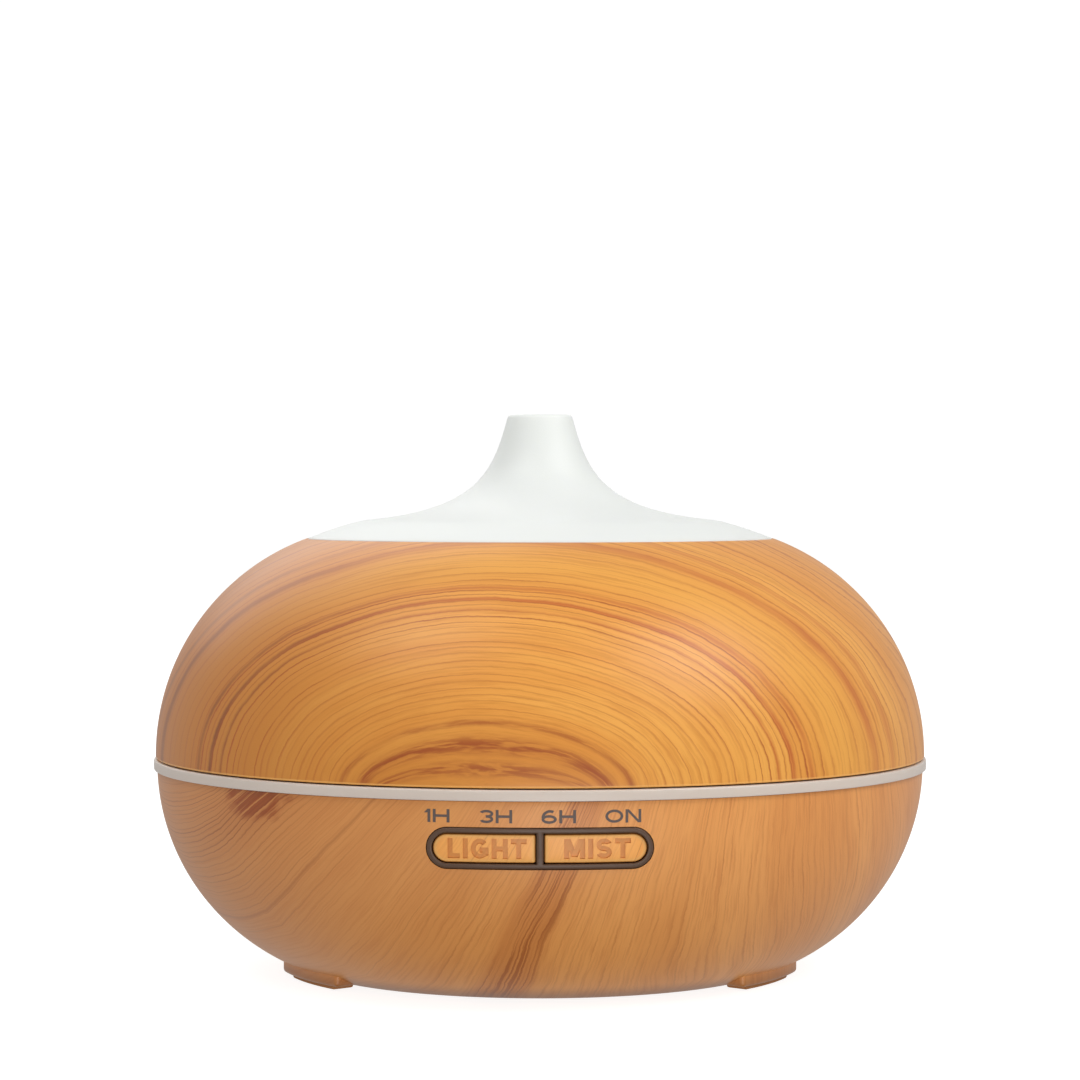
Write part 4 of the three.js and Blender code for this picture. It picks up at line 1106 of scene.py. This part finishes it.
def power_inlet():
    nose = fillet([(3.2, 62), (5, 62), (5, JACK_FACE - 0.2, 0.5), (3.2, JACK_FACE - 0.2, 0.4)])
    jack = place(turned("inlet_socket", nose, 64), along_y(0, 0, JACK_Z))
    body = rounded_box("body", (-5.5, 55, JACK_Z - 4.2), (5.5, 66.2, JACK_Z + 5), 0.5)
    cut(body, [rod(3.2, 59.5, 80, JACK_Z)])
    combine(jack, [body], "UNION")
    piece(smooth(jack, 35), "base", DARK_PLASTIC, ["dc_jack"])
    pin_outline = fillet([(0, 59.7), (1, 59.7), (1, JACK_FACE - 1.6, 0.6), (0, JACK_FACE - 1.6)])
    pin = place(turned("inlet_pin", pin_outline, 32), along_y(0, 0, JACK_Z))
    piece(smooth(pin), "base", STEEL, ["dc_jack_pin"])


# ---------------- carried-over CAD nodes
CARRIED = (
    (DARK_PLASTIC, ("light_switch_plunger", "mist_switch_plunger", "light_switch", "mist_switch",
                    "fan_frame", "fan_impeller", "transducer_retainer", "driver_transistor",
                    "capacitor_1", "capacitor_2")),
    (BOARD_GREEN, ("button_board", "led_board", "main_board")),
    (STEEL, ("fan_shaft", "transducer_disc")),
    (BRASS, ("fan_bearing",)),
    (COPPER, ("fan_stator", "inductor")),
    (SILICONE, ("transducer_gasket",)),
    (ALUMINIUM, ("heat_sink",)),
    (CABLE_SHEATH, ("transducer_cable", "fan_cable", "led_cable", "button_cable", "jack_cable")),
)


def dress_cad_nodes():
    for material, nodes in CARRIED:
        for node in nodes:
            dress(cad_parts[node], material)


# ---------------- stage, light and camera
def keep_apart(obj):
    """The stage is seen, but throws no light or reflection on the object."""
    obj.visible_diffuse = False
    obj.visible_glossy = False
    obj.visible_transmission = False
    obj.visible_shadow = False


def stage():
    floor_r, backdrop_r = 3000, 4000
    bm = bmesh.new()
    bmesh.ops.create_circle(bm, cap_ends=True, segments=96, radius=floor_r)
    floor = from_bmesh("floor", bm)
    pale = Material("pale_floor", Roughness=0.9, Emission_Color=(1, 1, 1), Emission_Strength=0.88)
    cloud = pale.noise(pale.millimetres(), 0.01, 2.0)
    pale.set(Base_Color=pale.mix(cloud, (0.34, 0.35, 0.36), (0.37, 0.38, 0.39)))
    dress(floor, pale.material)
    bm = bmesh.new()
    bmesh.ops.create_uvsphere(bm, u_segments=64, v_segments=32, radius=backdrop_r)
    backdrop = from_bmesh("backdrop", bm)
    white = Material("white_backdrop", Base_Color=(0, 0, 0), Emission_Color=(1, 1, 1), Emission_Strength=1.0)
    dress(backdrop, white.material)
    for obj in (floor, backdrop):
        keep_apart(obj)


LIGHT_TARGET = (0, 0, 0.06)  # metres, as are the lights' places and sizes
LIGHTS = (  # name, place, size, power in watts
    ("key", (0.76, -0.44, 0.96), 0.6, 6.2),
    ("top", (-0.52, -0.35, 1.12), 0.6, 3.3),
    ("front", (0.1, -1.0, -0.35), 0.6, 3.2),
    ("back", (-0.5, 0.9, 0.8), 0.9, 2.6),
)
SKY_STRENGTH, SKY_FADE = 0.52, (-1.0, -0.7)  # the sky fades out between these heights, straight below


def area_light(name, position, size, power):
    light = bpy.data.lights.new(name, "AREA")
    light.shape = "SQUARE"
    light.size = size
    light.energy = power
    obj = new_object(name, light)
    obj.location = position
    obj.rotation_euler = (Vector(LIGHT_TARGET) - Vector(position)).to_track_quat("-Z", "Y").to_euler()


def sky():
    world = bpy.data.worlds.new("studio")
    bpy.context.scene.world = world
    world.use_nodes = True
    nodes, links = world.node_tree.nodes, world.node_tree.links
    direction = nodes.new("ShaderNodeTexCoord")
    height = nodes.new("ShaderNodeSeparateXYZ")
    strength = nodes.new("ShaderNodeMapRange")
    strength.inputs["From Min"].default_value, strength.inputs["From Max"].default_value = SKY_FADE
    strength.inputs["To Min"].default_value = 0.0
    strength.inputs["To Max"].default_value = SKY_STRENGTH
    links.new(direction.outputs["Generated"], height.inputs[0])
    links.new(height.outputs["Z"], strength.inputs["Value"])
    links.new(strength.outputs[0], nodes["Background"].inputs["Strength"])
    nodes["Background"].inputs["Color"].default_value = (1, 1, 1, 1)


def camera():
    """A long lens in front of the object, a little above the ring and tilted slightly down."""
    distance, above_ring, tilt = 720, 60.4, 0.975
    data = bpy.data.cameras.new("camera")
    data.sensor_width = 36.0
    data.lens = 109.7
    data.clip_end = 20
    obj = new_object("camera", data)
    obj.location = (0, -distance * MM, (RING_MID + above_ring) * MM)
    obj.rotation_euler = (radians(90 - tilt), 0, 0)
    bpy.context.scene.camera = obj


bpy.context.scene.view_settings.view_transform = "Standard"
camera()
stage()
sky()
for row in LIGHTS:
    area_light(*row)
outer_cover()
nozzle_cap()
inner_cover()
water_tank()
air_outlet_hood()
light_ring()
base_shell()
foot_pads()
control_bezel()
panel_button(-1, "light_key", "LIGHT", -10.3, 15.4, (0.62, 0.25, 0.9, 0.82, 0.8))
panel_button(1, "mist_key", "MIST", 11.2, 13.0, (1.05, 0.25, 0.78, 0.8))
legends()
bottom_plate()
power_inlet()
screws("plate_fixing", 4, "plate_screw_{}", 2.2, 1.1, 0.95, PLATE_LOW - 0.1, 9.2)
screws("tank_fixing", 4, "tank_screw_{}", 2.6, 1.8, 1.4, 4.9, 20.6)
screws("retainer_fixing", 3, "retainer_screw_{}", 2.1, 1.2, 0.9, 16.8, 22.4)
screws("fan_fixing", 2, "fan_screw_{}", 2.2, 1.3, 0.95, 14.8, 2.8)
screws("board_fixing", 3, "board_screw_{}", 2.1, 1.3, 0.95, 13.2, 6.8)
screws("panel_fixing", 2, "button_board_screw_{}", 2.2, 1.3, 0.95, -69.1, -75.0, along_front=True)
dress_cad_nodes()
